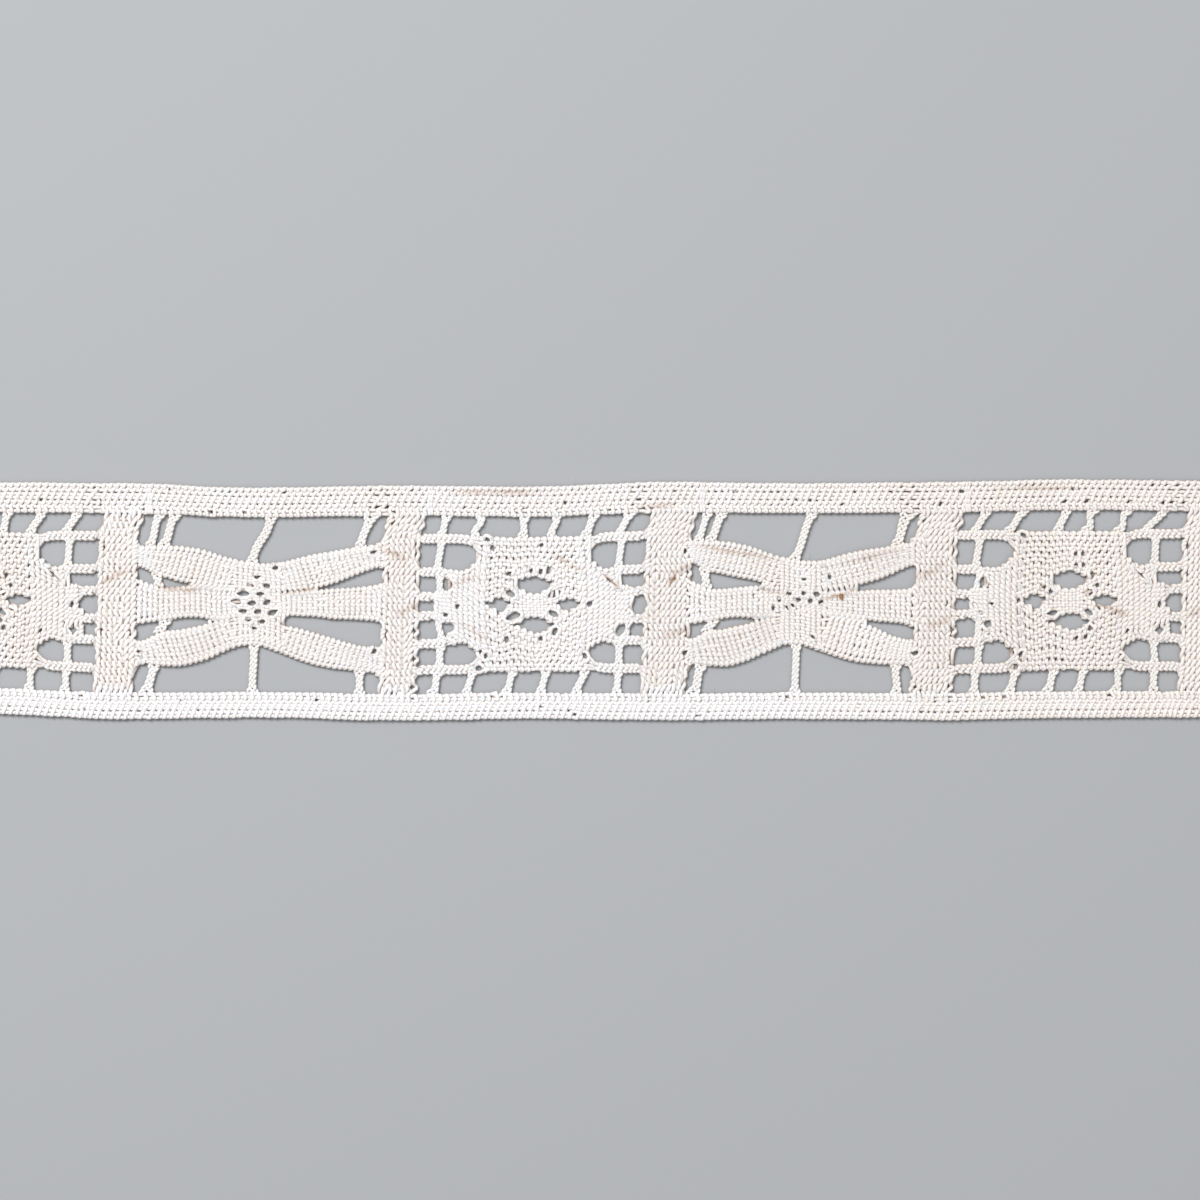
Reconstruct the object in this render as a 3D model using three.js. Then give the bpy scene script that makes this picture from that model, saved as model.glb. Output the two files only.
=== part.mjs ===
// Cluny lace trim: a cut length of cotton insertion lace, lying flat.
// It is one piece of cloth. Two dense footings run along its edges, cross bars join them, and the
// panels between the bars hold by turns a ladder with a wreath and a daisy of six petals.
// Millimetres, +Z up. X runs along the trim and Y across it; the trim rests on Z = 0.

import * as THREE from 'three';

// Driving dimensions
const WIDTH = 25.4;            // across the trim, between its two selvedges
const THICKNESS = 1.0;         // threads crossing over and under each other
const TOP_FOOTING = 3.35;      // width of the footing on the +Y edge
const BOTTOM_FOOTING = 3.0;    // width of the footing on the -Y edge
const PLAIT = 0.9;             // width of a plait of four threads
const CORNER = 0.3;            // threads fill the corners of a ladder's cell by this much
const EDGE_STEP = 2.5;         // spacing of the points along the selvedges
const ROUND_SIDES = 10;        // sides of a round gap in the wreath
const PULL = 0.12;             // threads pull a gap's edges up and down by this much
const PULL_LENGTH = 3.3;       // and back again over this length

const TOP_INNER = WIDTH / 2 - TOP_FOOTING;
const BOTTOM_INNER = BOTTOM_FOOTING - WIDTH / 2;

// The cross bars, from the left end: each one's width, and the pitch to the next one.
const BARS = [
  { width: 4.4, pitch: 29.0 },
  { width: 4.2, pitch: 30.4 },
  { width: 3.7, pitch: 28.65 },
  { width: 4.8, pitch: 28.75 },
  { width: 4.3, pitch: 28.8 },
  { width: 4.4, pitch: 0 },
];

// The panels between them. In a square, the top of each upright plait leans to the right, by
// topLean or bottomLean. In a daisy, the tip of each petal swings up or down by its own amount.
const PANELS = [
  { pattern: 'square', topLean: 0.9, bottomLean: 0.7 },
  {
    pattern: 'daisy',
    left: { upper: -0.25, middle: 0.05, lower: 0.0 },
    right: { upper: 0.0, middle: 0.2, lower: -0.4 },
  },
  { pattern: 'square', topLean: 0.8, bottomLean: 0.6 },
  {
    pattern: 'daisy',
    left: { upper: 0.2, middle: -0.05, lower: 0.1 },
    right: { upper: -0.1, middle: -0.4, lower: 0.4 },
  },
  { pattern: 'square', topLean: 1.1, bottomLean: 0.9 },
];

// The selvedges wander. One row for each bar and each panel's middle, from the left end:
// the height of the top and of the bottom selvedge above the trim's middle line.
const SELVEDGES = [
  { top: 12.70, bottom: -12.40 },
  { top: 12.68, bottom: -12.27 },
  { top: 12.62, bottom: -12.85 },
  { top: 12.11, bottom: -12.72 },
  { top: 12.33, bottom: -13.02 },
  { top: 12.20, bottom: -12.80 },
  { top: 12.74, bottom: -12.98 },
  { top: 12.62, bottom: -12.85 },
  { top: 12.70, bottom: -12.98 },
  { top: 13.02, bottom: -12.74 },
  { top: 12.87, bottom: -12.68 },
];

// The ladder round a wreath. Its upright plaits stand in a top row and a bottom row.
const UPRIGHTS = {
  topRow: [-9.5, -5.8, -0.9, 2.3, 6.1, 9.7],
  bottomRow: [-10.2, -6.4, -2.1, 1.3, 5.2, 9.05],
};

// Its rungs run along the trim: height on the left and right side, and thickness.
const RUNGS = [
  { left: 6.95, right: 6.95, thick: 0.80 },
  { left: 3.35, right: 3.40, thick: 1.00 },
  { left: 0.70, right: 1.10, thick: 1.10 },
  { left: -1.40, right: -1.90, thick: 1.00 },
  { left: -4.40, right: -4.15, thick: 1.05 },
  { left: -7.20, right: -7.15, thick: 0.90 },
];
const LEFT_POST = -9.9;        // the uprights that part the side cells from the wreath
const RIGHT_POST = 9.35;

// The round gaps: one in each corner of the wreath, and four about its middle.
const WREATH_GAPS = [
  { x: -7.80, y: 5.05, wide: 3.50, tall: 3.10 },
  { x: 7.60, y: 5.05, wide: 2.95, tall: 3.00 },
  { x: -7.80, y: -5.60, wide: 3.50, tall: 2.60 },
  { x: 7.50, y: -5.45, wide: 2.60, tall: 2.20 },
  { x: 0.00, y: 1.95, wide: 3.90, tall: 1.80 },
  { x: 0.35, y: -2.50, wide: 2.80, tall: 1.65 },
  { x: -3.65, y: -0.40, wide: 2.10, tall: 1.40 },
  { x: 3.65, y: -0.30, wide: 2.15, tall: 1.20 },
];

// The daisy's petals run along the trim in three tiers. One row for each section along a panel
// of DAISY_PITCH: the top (T) and bottom (B) edge of the upper, middle and lower tier.
const DAISY_PITCH = 29.6;
const PETALS = [
  { x: -12.6, upperT: 6.20, upperB: 3.95, middleT: 2.20, middleB: -2.50, lowerT: -4.35, lowerB: -6.75 },
  { x: -10.2, upperT: 6.30, upperB: 2.90, middleT: 1.40, middleB: -2.15, lowerT: -3.15, lowerB: -7.05 },
  { x: -8.3, upperT: 6.30, upperB: 2.60, middleT: 1.40, middleB: -1.85, lowerT: -2.95, lowerB: -7.10 },
  { x: -6.0, upperT: 5.95, upperB: 2.20, middleT: 1.65, middleB: -1.80, lowerT: -2.45, lowerB: -6.50 },
  { x: -4.4, upperT: 5.45, upperB: 1.85, middleT: 1.85, middleB: -1.95, lowerT: -1.95, lowerB: -5.80 },
  { x: -2.0, upperT: 4.75, upperB: 1.50, middleT: 1.50, middleB: -1.60, lowerT: -1.60, lowerB: -4.80 },
  { x: 0.0, upperT: 4.40, upperB: 1.40, middleT: 1.40, middleB: -1.50, lowerT: -1.50, lowerB: -4.70 },
  { x: 1.8, upperT: 4.35, upperB: 1.15, middleT: 1.15, middleB: -1.50, lowerT: -1.50, lowerB: -5.35 },
  { x: 4.2, upperT: 4.95, upperB: 1.25, middleT: 1.25, middleB: -1.60, lowerT: -2.40, lowerB: -6.20 },
  { x: 6.0, upperT: 5.40, upperB: 1.60, middleT: 1.35, middleB: -1.75, lowerT: -3.00, lowerB: -6.70 },
  { x: 8.0, upperT: 5.75, upperB: 2.15, middleT: 1.55, middleB: -1.95, lowerT: -3.60, lowerB: -6.95 },
  { x: 10.0, upperT: 6.10, upperB: 2.95, middleT: 1.65, middleB: -2.05, lowerT: -4.15, lowerB: -7.10 },
  { x: 12.6, upperT: 6.40, upperB: 3.90, middleT: 1.80, middleB: -2.20, lowerT: -4.50, lowerB: -7.20 },
];

// The daisy's openings lie between two edges. Each one runs from a left side to a right side,
// and both sides lean, so they have a place at the top (T) and at the bottom (B).
const DAISY_OPENINGS = [
  { over: 'topFooting', under: 'upperT', leftT: -11.5, leftB: -12.4, rightT: -10.8, rightB: -11.8 },
  { over: 'topFooting', under: 'upperT', leftT: -10.0, leftB: -10.9, rightT: -9.3, rightB: -10.4 },
  { over: 'topFooting', under: 'upperT', leftT: -8.2, leftB: -9.4, rightT: 0.6, rightB: -1.4 },
  { over: 'topFooting', under: 'upperT', leftT: 1.9, leftB: 0.1, rightT: 11.0, rightB: 9.9 },
  { over: 'topFooting', under: 'upperT', leftT: 12.1, leftB: 11.5, rightT: 12.9, rightB: 12.3 },
  { over: 'upperB', under: 'middleT', leftT: -12.6, leftB: -11.9, rightT: -11.0, rightB: -11.0 },
  { over: 'upperB', under: 'middleT', leftT: -10.2, leftB: -9.9, rightT: -5.0, rightB: -5.0 },
  { over: 'upperB', under: 'middleT', leftT: 5.2, leftB: 5.2, rightT: 12.1, rightB: 12.5 },
  { over: 'middleB', under: 'lowerT', leftT: -11.4, leftB: -12.3, rightT: -10.2, rightB: -10.9 },
  { over: 'middleB', under: 'lowerT', leftT: -9.3, leftB: -9.7, rightT: -4.8, rightB: -4.8 },
  { over: 'middleB', under: 'lowerT', leftT: 4.6, leftB: 4.2, rightT: 12.6, rightB: 11.8 },
  { over: 'lowerB', under: 'bottomFooting', leftT: -12.5, leftB: -12.7, rightT: -11.5, rightB: -12.1 },
  { over: 'lowerB', under: 'bottomFooting', leftT: -10.4, leftB: -11.1, rightT: -1.0, rightB: -1.3 },
  { over: 'lowerB', under: 'bottomFooting', leftT: 0.0, leftB: 0.0, rightT: 10.0, rightB: 10.0 },
  { over: 'lowerB', under: 'bottomFooting', leftT: 11.1, leftB: 11.1, rightT: 12.1, rightB: 11.8 },
];

// ---- Where things lie ----

// The bars' middles, shared evenly about X = 0.
const pitches = BARS.reduce((sum, bar) => sum + bar.pitch, 0);
const barX = [-pitches / 2];
for (const bar of BARS.slice(0, -1)) barX.push(barX.at(-1) + bar.pitch);
const LEFT_END = barX[0] - BARS[0].width / 2;
const RIGHT_END = barX.at(-1) + BARS.at(-1).width / 2;

// The selvedge rows' places along the trim: bar, panel, bar, panel and so on.
const stations = SELVEDGES.map((row, i) => {
  const bar = Math.floor(i / 2);
  const x = i % 2 === 0 ? barX[bar] : (barX[bar] + barX[bar + 1]) / 2;
  return { x, ...row };
});

const straight = (t) => t;
const eased = (t) => t * t * (3 - 2 * t);

// The value of one column of a table at x, run straight or eased from row to row.
function read(rows, column, x, run) {
  if (x <= rows[0].x) return rows[0][column];
  const i = rows.findIndex((row) => row.x >= x);
  if (i < 0) return rows.at(-1)[column];
  const [a, b] = [rows[i - 1], rows[i]];
  return a[column] + (b[column] - a[column]) * run((x - a.x) / (b.x - a.x));
}

// A place on the even pattern, moved to where the uneven trim has it.
function place(x, y) {
  const top = read(stations, 'top', x, eased);
  const bottom = read(stations, 'bottom', x, eased);
  return new THREE.Vector2(x, (top + bottom) / 2 + (y * (top - bottom)) / WIDTH);
}

// A place on the edge of a gap, where the threads pull unevenly, so that no two gaps are alike.
function pulled(x, y) {
  return place(x, y + PULL * Math.sin((2 * Math.PI * x) / PULL_LENGTH + y));
}

// ---- Gaps, each a list of points on the even pattern, about its panel's middle ----

// A ladder's cell: four sides that lean, with its corners filled.
function cell(left, right, bottom, top, lean) {
  const slant = (y) => (lean * (y - (bottom + top) / 2)) / (top - bottom);
  const cutX = Math.min(CORNER, (right - left) / 4);
  const cutY = Math.min(CORNER, (top - bottom) / 4);
  const corners = [
    [left, bottom + cutY], [left + cutX, bottom], [right - cutX, bottom], [right, bottom + cutY],
    [right, top - cutY], [right - cutX, top], [left + cutX, top], [left, top - cutY],
  ];
  return corners.map(([x, y]) => [x + slant(y), y]);
}

// A row of cells between two bars, parted by upright plaits.
function cellRow(uprights, left, right, bottom, top, lean) {
  const lefts = [left, ...uprights.map((x) => x + PLAIT / 2)];
  const rights = [...uprights.map((x) => x - PLAIT / 2), right];
  return lefts.map((x, i) => cell(x, rights[i], bottom, top, lean));
}

// A round gap in the wreath.
function roundGap({ x, y, wide, tall }) {
  return Array.from({ length: ROUND_SIDES }, (_, i) => {
    const turn = (2 * Math.PI * (i + 0.5)) / ROUND_SIDES;
    return [x + (wide / 2) * Math.cos(turn), y + (tall / 2) * Math.sin(turn)];
  });
}

function squareGaps(panel, left, right) {
  const first = RUNGS[0];
  const last = RUNGS.at(-1);
  const topRow = [first.left + first.thick / 2, TOP_INNER, panel.topLean];
  const bottomRow = [BOTTOM_INNER, last.left - last.thick / 2, panel.bottomLean];
  const gaps = [
    ...cellRow(UPRIGHTS.topRow, left, right, ...topRow),
    ...cellRow(UPRIGHTS.bottomRow, left, right, ...bottomRow),
    ...WREATH_GAPS.map(roundGap),
  ];
  for (let i = 1; i < RUNGS.length; i += 1) {
    const [upper, lower] = [RUNGS[i - 1], RUNGS[i]];
    const span = (side) => [lower[side] + lower.thick / 2, upper[side] - upper.thick / 2];
    gaps.push(cell(left, LEFT_POST - PLAIT / 2, ...span('left'), 0));
    gaps.push(cell(RIGHT_POST + PLAIT / 2, right, ...span('right'), 0));
  }
  return gaps;
}

// The height of a petal's edge: the even petal's, swung about the daisy's middle.
function petalEdge(panel, name, x) {
  const tier = name.slice(0, -1);
  const swing = x < 0 ? panel.left[tier] : panel.right[tier];
  return read(PETALS, name, x, straight) + (swing * Math.abs(x)) / PETALS.at(-1).x;
}

// An opening of the daisy: along the edge under it, and back along the edge over it.
function daisyOpening(panel, opening, stretch) {
  const run = (name, from, to) => {
    const footing = { topFooting: TOP_INNER, bottomFooting: BOTTOM_INNER }[name];
    if (footing !== undefined) return [[from * stretch, footing], [to * stretch, footing]];
    const between = PETALS.map((row) => row.x).filter((x) => x > from && x < to);
    return [from, ...between, to].map((x) => [x * stretch, petalEdge(panel, name, x)]);
  };
  const under = run(opening.under, opening.leftB, opening.rightB);
  const over = run(opening.over, opening.leftT, opening.rightT);
  return [...under, ...over.reverse()];
}

function daisyGaps(panel, pitch) {
  return DAISY_OPENINGS.map((opening) => daisyOpening(panel, opening, pitch / DAISY_PITCH));
}

// ---- The lace ----

// The trim's outline. Every selvedge row is a point of it, so that it reaches its full width.
function outline() {
  const steps = Math.round((RIGHT_END - LEFT_END) / EDGE_STEP);
  const even = Array.from({ length: steps + 1 }, (_, i) => LEFT_END + ((RIGHT_END - LEFT_END) * i) / steps);
  const rows = stations.map((row) => row.x);
  const clear = even.filter((x) => rows.every((row) => Math.abs(row - x) > EDGE_STEP / 3));
  const xs = [...clear, ...rows].sort((a, b) => a - b);
  const bottom = xs.map((x) => place(x, -WIDTH / 2));
  const top = xs.map((x) => place(x, WIDTH / 2));
  return [...bottom, ...top.reverse()];
}

function laceShape() {
  const shape = new THREE.Shape(outline());
  PANELS.forEach((panel, i) => {
    const pitch = BARS[i].pitch;
    const middle = barX[i] + pitch / 2;
    const left = BARS[i].width / 2 - pitch / 2;
    const right = pitch / 2 - BARS[i + 1].width / 2;
    const gaps = panel.pattern === 'square' ? squareGaps(panel, left, right) : daisyGaps(panel, pitch);
    for (const gap of gaps) {
      shape.holes.push(new THREE.Path(gap.map(([x, y]) => pulled(middle + x, y))));
    }
  });
  return shape;
}

const cotton = new THREE.MeshStandardMaterial({ color: 0xefe9e0, roughness: 0.9, metalness: 0 });
const sheet = new THREE.ExtrudeGeometry(laceShape(), { depth: THICKNESS, bevelEnabled: false });
const lace = new THREE.Mesh(sheet, cotton);
lace.name = 'lace';

const trim = new THREE.Group();
trim.add(lace);
export default trim;
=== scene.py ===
# %% [markdown]
# # Cluny lace trim, thread by thread
# Bobbin lace is not cut from a sheet. Every bit of it is a thread that passes over and under
# its neighbours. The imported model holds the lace's outline and its larger gaps as one flat
# solid. This lesson lays real threads inside that solid's space, so that the pinholes, the
# ribs and the plaits are there as shapes, and not painted on.
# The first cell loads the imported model. It is the fixed frame that everything is placed by.

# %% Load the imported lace
import math
from collections import namedtuple

import bpy
import numpy as np
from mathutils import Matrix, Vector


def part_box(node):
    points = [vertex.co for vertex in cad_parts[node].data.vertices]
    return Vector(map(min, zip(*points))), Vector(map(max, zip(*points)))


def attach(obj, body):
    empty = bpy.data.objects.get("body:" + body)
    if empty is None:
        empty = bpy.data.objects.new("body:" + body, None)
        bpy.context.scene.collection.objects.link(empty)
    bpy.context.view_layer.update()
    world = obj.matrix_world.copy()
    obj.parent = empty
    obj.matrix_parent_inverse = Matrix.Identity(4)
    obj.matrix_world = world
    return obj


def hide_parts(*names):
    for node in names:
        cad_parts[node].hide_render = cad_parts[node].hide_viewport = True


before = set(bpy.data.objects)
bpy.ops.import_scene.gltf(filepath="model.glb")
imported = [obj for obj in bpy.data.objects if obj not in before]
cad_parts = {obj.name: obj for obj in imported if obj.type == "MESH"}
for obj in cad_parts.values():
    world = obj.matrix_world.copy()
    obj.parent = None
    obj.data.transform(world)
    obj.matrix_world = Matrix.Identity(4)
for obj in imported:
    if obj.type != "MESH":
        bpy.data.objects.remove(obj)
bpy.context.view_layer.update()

MM = 0.001                       # the tables below are in millimetres, Blender is in metres
low, high = (np.array(corner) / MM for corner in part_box("lace"))
LEFT_END, RIGHT_END = low[0], high[0]
print(f"the trim is {high[0] - low[0]:.1f} x {high[1] - low[1]:.1f} x {high[2] - low[2]:.1f} mm")

# %% [markdown]
# ## The pattern
# The trim has two dense footings, six cross bars, and five panels between the bars. A panel
# is a ladder with a wreath, or a daisy. These are the driving sizes. The bars' middles are
# counted from the trim's left end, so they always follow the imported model.

# %% Bars and panels
WIDTH = 25.4                     # across the trim, on the even pattern
TOP_FOOTING, BOTTOM_FOOTING = 3.35, 3.0
TOP_INNER = WIDTH / 2 - TOP_FOOTING
BOTTOM_INNER = BOTTOM_FOOTING - WIDTH / 2

Bar = namedtuple("Bar", "width pitch")
BARS = [Bar(4.4, 29.0), Bar(4.2, 30.4), Bar(3.7, 28.65), Bar(4.8, 28.75), Bar(4.3, 28.8),
        Bar(4.4, 0)]
pitches = [bar.pitch for bar in BARS[:-1]]
BAR_X = LEFT_END + BARS[0].width / 2 + np.insert(np.cumsum(pitches), 0, 0)

# Each petal of a daisy swings up or down by its own amount, and each gap between two petals
# begins at a tip. Two of the tips differ from daisy to daisy: lower_tip is the one between the
# middle and lower petal on its right, and upper_tip the one between the upper and middle petal
# on its left. From its tip on, such a gap opens over its taper.
Square = namedtuple("Square", "")
Daisy = namedtuple("Daisy", "left right lower_tip upper_tip")
Swing = namedtuple("Swing", "upper middle lower")
Tip = namedtuple("Tip", "x taper")
PANELS = [
    Square(),
    Daisy(Swing(-0.25, 0.05, 0.0), Swing(0.0, 0.2, -0.4), Tip(2.6, 0.3), Tip(-6.7, 4.0)),
    Square(),
    Daisy(Swing(0.2, -0.05, 0.1), Swing(-0.1, -0.4, 0.4), Tip(6.4, 4.2), Tip(-4.1, 0.3)),
    Square(),
]


def panel_middle(i):
    """Half way between the middles of panel i's two bars."""
    return BAR_X[i] + BARS[i].pitch / 2


def panel_edges(i):
    """Where panel i's two bars end, counted from its middle."""
    half = BARS[i].pitch / 2
    return BARS[i].width / 2 - half, half - BARS[i + 1].width / 2


print("bars at", np.round(BAR_X, 2), "and the last one ends at", BAR_X[-1] + BARS[-1].width / 2)

# %% The uneven selvedges
# They wander: this far from the middle line at each bar and each panel's middle.
SELVEDGE_TOP = np.array([12.70, 12.68, 12.62, 12.11, 12.33, 12.20, 12.74, 12.62, 12.70, 13.02,
                         12.87])
SELVEDGE_BOTTOM = -np.array([12.40, 12.27, 12.85, 12.72, 13.02, 12.80, 12.98, 12.85, 12.98,
                             12.74, 12.68])
STATIONS = np.sort(np.concatenate([BAR_X, (BAR_X[:-1] + BAR_X[1:]) / 2]))


def reached(distance, length):
    """The share of a length that a distance has reached, from 0 to 1."""
    return np.clip(distance / length, 0, 1)


def eased(stations, values, x):
    """The value at x of a column that runs from row to row with soft bends."""
    i = np.clip(np.searchsorted(stations, x) - 1, 0, len(stations) - 2)
    t = reached(x - stations[i], stations[i + 1] - stations[i])
    return values[i] + (values[i + 1] - values[i]) * t * t * (3 - 2 * t)


def placed(x, y):
    """Heights on the even pattern, moved to where the uneven trim has them."""
    top, bottom = eased(STATIONS, SELVEDGE_TOP, x), eased(STATIONS, SELVEDGE_BOTTOM, x)
    return (top + bottom) / 2 + y * (top - bottom) / WIDTH


def evened(x, y):
    """The other way round: where a height on the trim lies on the even pattern."""
    top, bottom = eased(STATIONS, SELVEDGE_TOP, x), eased(STATIONS, SELVEDGE_BOTTOM, x)
    return (y - (top + bottom) / 2) * WIDTH / (top - bottom)


print("the top selvedge wanders by", round(float(np.ptp(SELVEDGE_TOP)), 2), "mm")

# %% [markdown]
# ## Lanes for the lengthwise threads
# 38 threads run from one end of the trim to the other: 7 in each footing and 24 between them.
# Each keeps to its own lane. In a bar the 24 lie side by side. In a ladder they gather into
# six plaits of four, and in a daisy into three petals of eight. So a panel is told by a few
# sections, and each section lists its bands of cloth from the top down: upper edge, lower
# edge, and how many threads share that band. The lanes bend softly from section to section.

# %% Sections of a ladder
YARN = 0.30                      # diameter of the cotton thread
ROUND = (1.12 * YARN, YARN)      # its width and height where it is free
PRESSED = (0.42, 0.24)           # and where the cloth presses it flat
EDGE = 0.36                      # the outermost lane lies this far inside a band's edge
INNER_THREADS = 24

Rung = namedtuple("Rung", "left right")                      # its height on each side
RUNGS = [Rung(6.95, 6.95), Rung(3.35, 3.40), Rung(0.70, 1.10), Rung(-1.40, -1.90),
         Rung(-4.40, -4.15), Rung(-7.20, -7.15)]
LEFT_POST, RIGHT_POST = -9.9, 9.35                           # the uprights beside a wreath
CLOTH_END = 10.45                # between the middle rungs the wreath's cloth reaches this far

Band = namedtuple("Band", "top bottom threads")
LADDER = {
    -8.75: [Band(7.35, 6.55, 4), Band(3.60, -4.60, 16), Band(-6.80, -7.65, 4)],
    -7.80: [Band(7.35, 6.55, 4), Band(3.50, -4.30, 16), Band(-6.85, -7.65, 4)],
    -6.80: [Band(7.30, 6.35, 4), Band(3.80, -4.60, 16), Band(-6.70, -7.65, 4)],
    -6.20: [Band(7.25, 5.60, 4), Band(4.60, -5.50, 16), Band(-6.10, -7.65, 4)],
    -5.50: [Band(7.30, -7.65, 24)],
    -4.70: [Band(7.28, 0.00, 12), Band(0.00, -7.65, 12)],
    -4.10: [Band(7.24, 0.42, 12), Band(-1.15, -7.65, 12)],
    -3.20: [Band(7.24, 0.45, 12), Band(-1.15, -7.65, 12)],
    -2.60: [Band(7.24, 0.10, 12), Band(0.00, -7.65, 12)],
    -1.95: [Band(7.24, 2.20, 8), Band(2.00, -2.30, 8), Band(-2.30, -7.65, 8)],
    -1.20: [Band(7.24, 2.65, 8), Band(1.25, -1.80, 8), Band(-2.75, -7.65, 8)],
    0.00: [Band(7.24, 2.85, 8), Band(1.05, -1.65, 8), Band(-3.30, -7.65, 8)],
    1.20: [Band(7.24, 2.65, 8), Band(1.20, -1.70, 8), Band(-3.20, -7.65, 8)],
    2.00: [Band(7.28, 2.10, 8), Band(1.95, -2.40, 8), Band(-2.50, -7.65, 8)],
    2.65: [Band(7.28, 0.00, 12), Band(-0.10, -7.65, 12)],
    3.20: [Band(7.30, 0.37, 12), Band(-0.95, -7.65, 12)],
    4.10: [Band(7.30, 0.37, 12), Band(-0.95, -7.65, 12)],
    4.80: [Band(7.25, 0.00, 12), Band(-0.10, -7.65, 12)],
    5.60: [Band(7.25, -7.60, 24)],
    6.25: [Band(7.30, 5.60, 4), Band(4.70, -4.90, 16), Band(-5.90, -7.60, 4)],
    6.80: [Band(7.30, 6.30, 4), Band(3.90, -4.40, 16), Band(-6.40, -7.60, 4)],
    7.60: [Band(7.35, 6.55, 4), Band(3.60, -4.30, 16), Band(-6.70, -7.60, 4)],
    8.60: [Band(7.35, 6.55, 4), Band(3.80, -4.60, 16), Band(-6.70, -7.60, 4)],
}
WIDE = 1.35                      # in a wreath the lanes lie in pairs, this much further apart


def even_lanes(band):
    """The heights of the threads that share a band evenly, from the top down."""
    return np.linspace(band.top - EDGE, band.bottom + EDGE, band.threads)


def paired_lanes(band):
    """The heights of the threads that share a band two by two."""
    gaps = np.where(np.arange(band.threads - 1) % 2 == 0, 1.0, WIDE)
    share = np.concatenate([[0], np.cumsum(gaps)]) / gaps.sum()
    return band.top - EDGE - share * (band.top - band.bottom - 2 * EDGE)


print(len(LADDER), "sections tell a ladder and its wreath")

# %% Sections of a daisy
DAISY_PITCH = 29.6               # the sections are told for this pitch, and stretched to the panel's
CLOSED = 0.05                    # where no gap between petals is wider than this, they are one band

# the heights of the top (t) and bottom (b) edge of each petal, at x from the daisy's middle
Petals = namedtuple("Petals", "x upper_t upper_b middle_t middle_b lower_t lower_b")
PETALS = [
    Petals(-12.6, 6.20, 3.95, 2.20, -2.50, -4.35, -6.75),
    Petals(-10.2, 6.30, 2.90, 1.40, -2.15, -3.15, -7.05),
    Petals(-8.3, 6.30, 2.60, 1.40, -1.85, -2.95, -7.10),
    Petals(-6.0, 5.95, 2.20, 1.65, -1.80, -2.45, -6.50),
    Petals(-4.4, 5.45, 1.95, 1.78, -1.95, -1.95, -5.80),
    Petals(-3.6, 5.17, 1.75, 1.75, -1.81, -1.81, -5.40),
    Petals(-2.0, 4.75, 1.50, 1.50, -1.60, -1.60, -4.80),
    Petals(0.0, 4.40, 1.40, 1.40, -1.50, -1.50, -4.70),
    Petals(1.8, 4.35, 1.15, 1.15, -1.50, -1.50, -5.35),
    Petals(2.9, 4.58, 1.20, 1.20, -1.45, -2.35, -5.70),
    Petals(4.2, 4.95, 1.25, 1.25, -1.60, -2.60, -6.20),
    Petals(5.2, 5.20, 1.42, 1.38, -1.68, -2.85, -6.48),
    Petals(6.0, 5.40, 1.60, 1.35, -1.75, -3.05, -6.70),
    Petals(8.0, 5.75, 2.15, 1.55, -1.95, -3.60, -6.95),
    Petals(10.0, 6.10, 2.95, 1.65, -2.05, -4.15, -7.10),
    Petals(12.6, 6.40, 3.90, 1.80, -2.20, -4.50, -7.20),
]


def petal_edge(panel, column, x):
    """The height of a petal's edge. The tip swings, and the daisy's middle stays."""
    rows = np.array([getattr(row, column) for row in PETALS])
    side = panel.left if x < 0 else panel.right
    swing = getattr(side, column.split("_")[0])
    return np.interp(x, [row.x for row in PETALS], rows) + swing * abs(x) / PETALS[-1].x


def daisy_lanes(panel, x):
    """The lanes through three petals, or through the net where x is 0."""
    edge = {column: petal_edge(panel, column, x) for column in Petals._fields[1:]}
    if x > 0:
        opened = reached(x - panel.lower_tip.x, panel.lower_tip.taper)
        edge["lower_t"] = edge["middle_b"] + opened * (edge["lower_t"] - edge["middle_b"])
    if x < 0:
        opened = reached(panel.upper_tip.x - x, panel.upper_tip.taper)
        mean = (edge["upper_b"] + edge["middle_t"]) / 2
        half = (edge["upper_b"] - edge["middle_t"]) / 2
        edge["upper_b"], edge["middle_t"] = mean + opened * half, mean - opened * half
    petals = [Band(edge[f"{petal}_t"], edge[f"{petal}_b"], INNER_THREADS // 3)
              for petal in ("upper", "middle", "lower")]
    if max(edge["upper_b"] - edge["middle_t"], edge["middle_b"] - edge["lower_t"]) < CLOSED:
        petals = [Band(edge["upper_t"], edge["lower_b"], INNER_THREADS)]
    return np.concatenate([even_lanes(band) for band in petals])


print(len(PETALS), "sections tell a daisy")

# %% From bar to bar
TOP_LANES = [0.30, 0.82, 1.30, 1.64, 2.14, 2.66, 3.08]       # from the top selvedge inwards
BOTTOM_LANES = [0.30, 0.68, 1.16, 1.48, 1.80, 2.28, 2.66]    # from the bottom selvedge inwards
GATHER = 0.35                    # beyond a bar's edge the lanes have gathered by here
PART = 0.7                       # and this far inside the bar they begin to
OUTSIDE, INSIDE = 0.4, 0.2       # next to a wreath's end they change between these places
RUNG_LANES = np.array([0.12, 0.04, -0.04, -0.12])            # a plait's threads lie close
SPREAD = 0.3                     # but beside a wreath the middle ones spread by this much

# the inner threads' heights in a bar, evenly between the two footings
EVEN = np.linspace(WIDTH / 2 - TOP_LANES[-1], BOTTOM_LANES[-1] - WIDTH / 2,
                   INNER_THREADS + 2)[1:-1]


def rung_lanes(side):
    """The lanes where the threads are plaited into the ladder's rungs."""
    return np.concatenate([getattr(rung, side) + RUNG_LANES for rung in RUNGS])


def post_lanes(side):
    """The same beside a wreath, where the middle rungs' eight threads spread out again."""
    lanes = rung_lanes(side)
    lanes[8:16] = np.linspace(lanes[8] + SPREAD, lanes[15] - SPREAD, 8)
    return lanes


def daisy_stretch(i):
    """How much longer panel i is than the daisy that the sections tell."""
    return BARS[i].pitch / DAISY_PITCH


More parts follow.
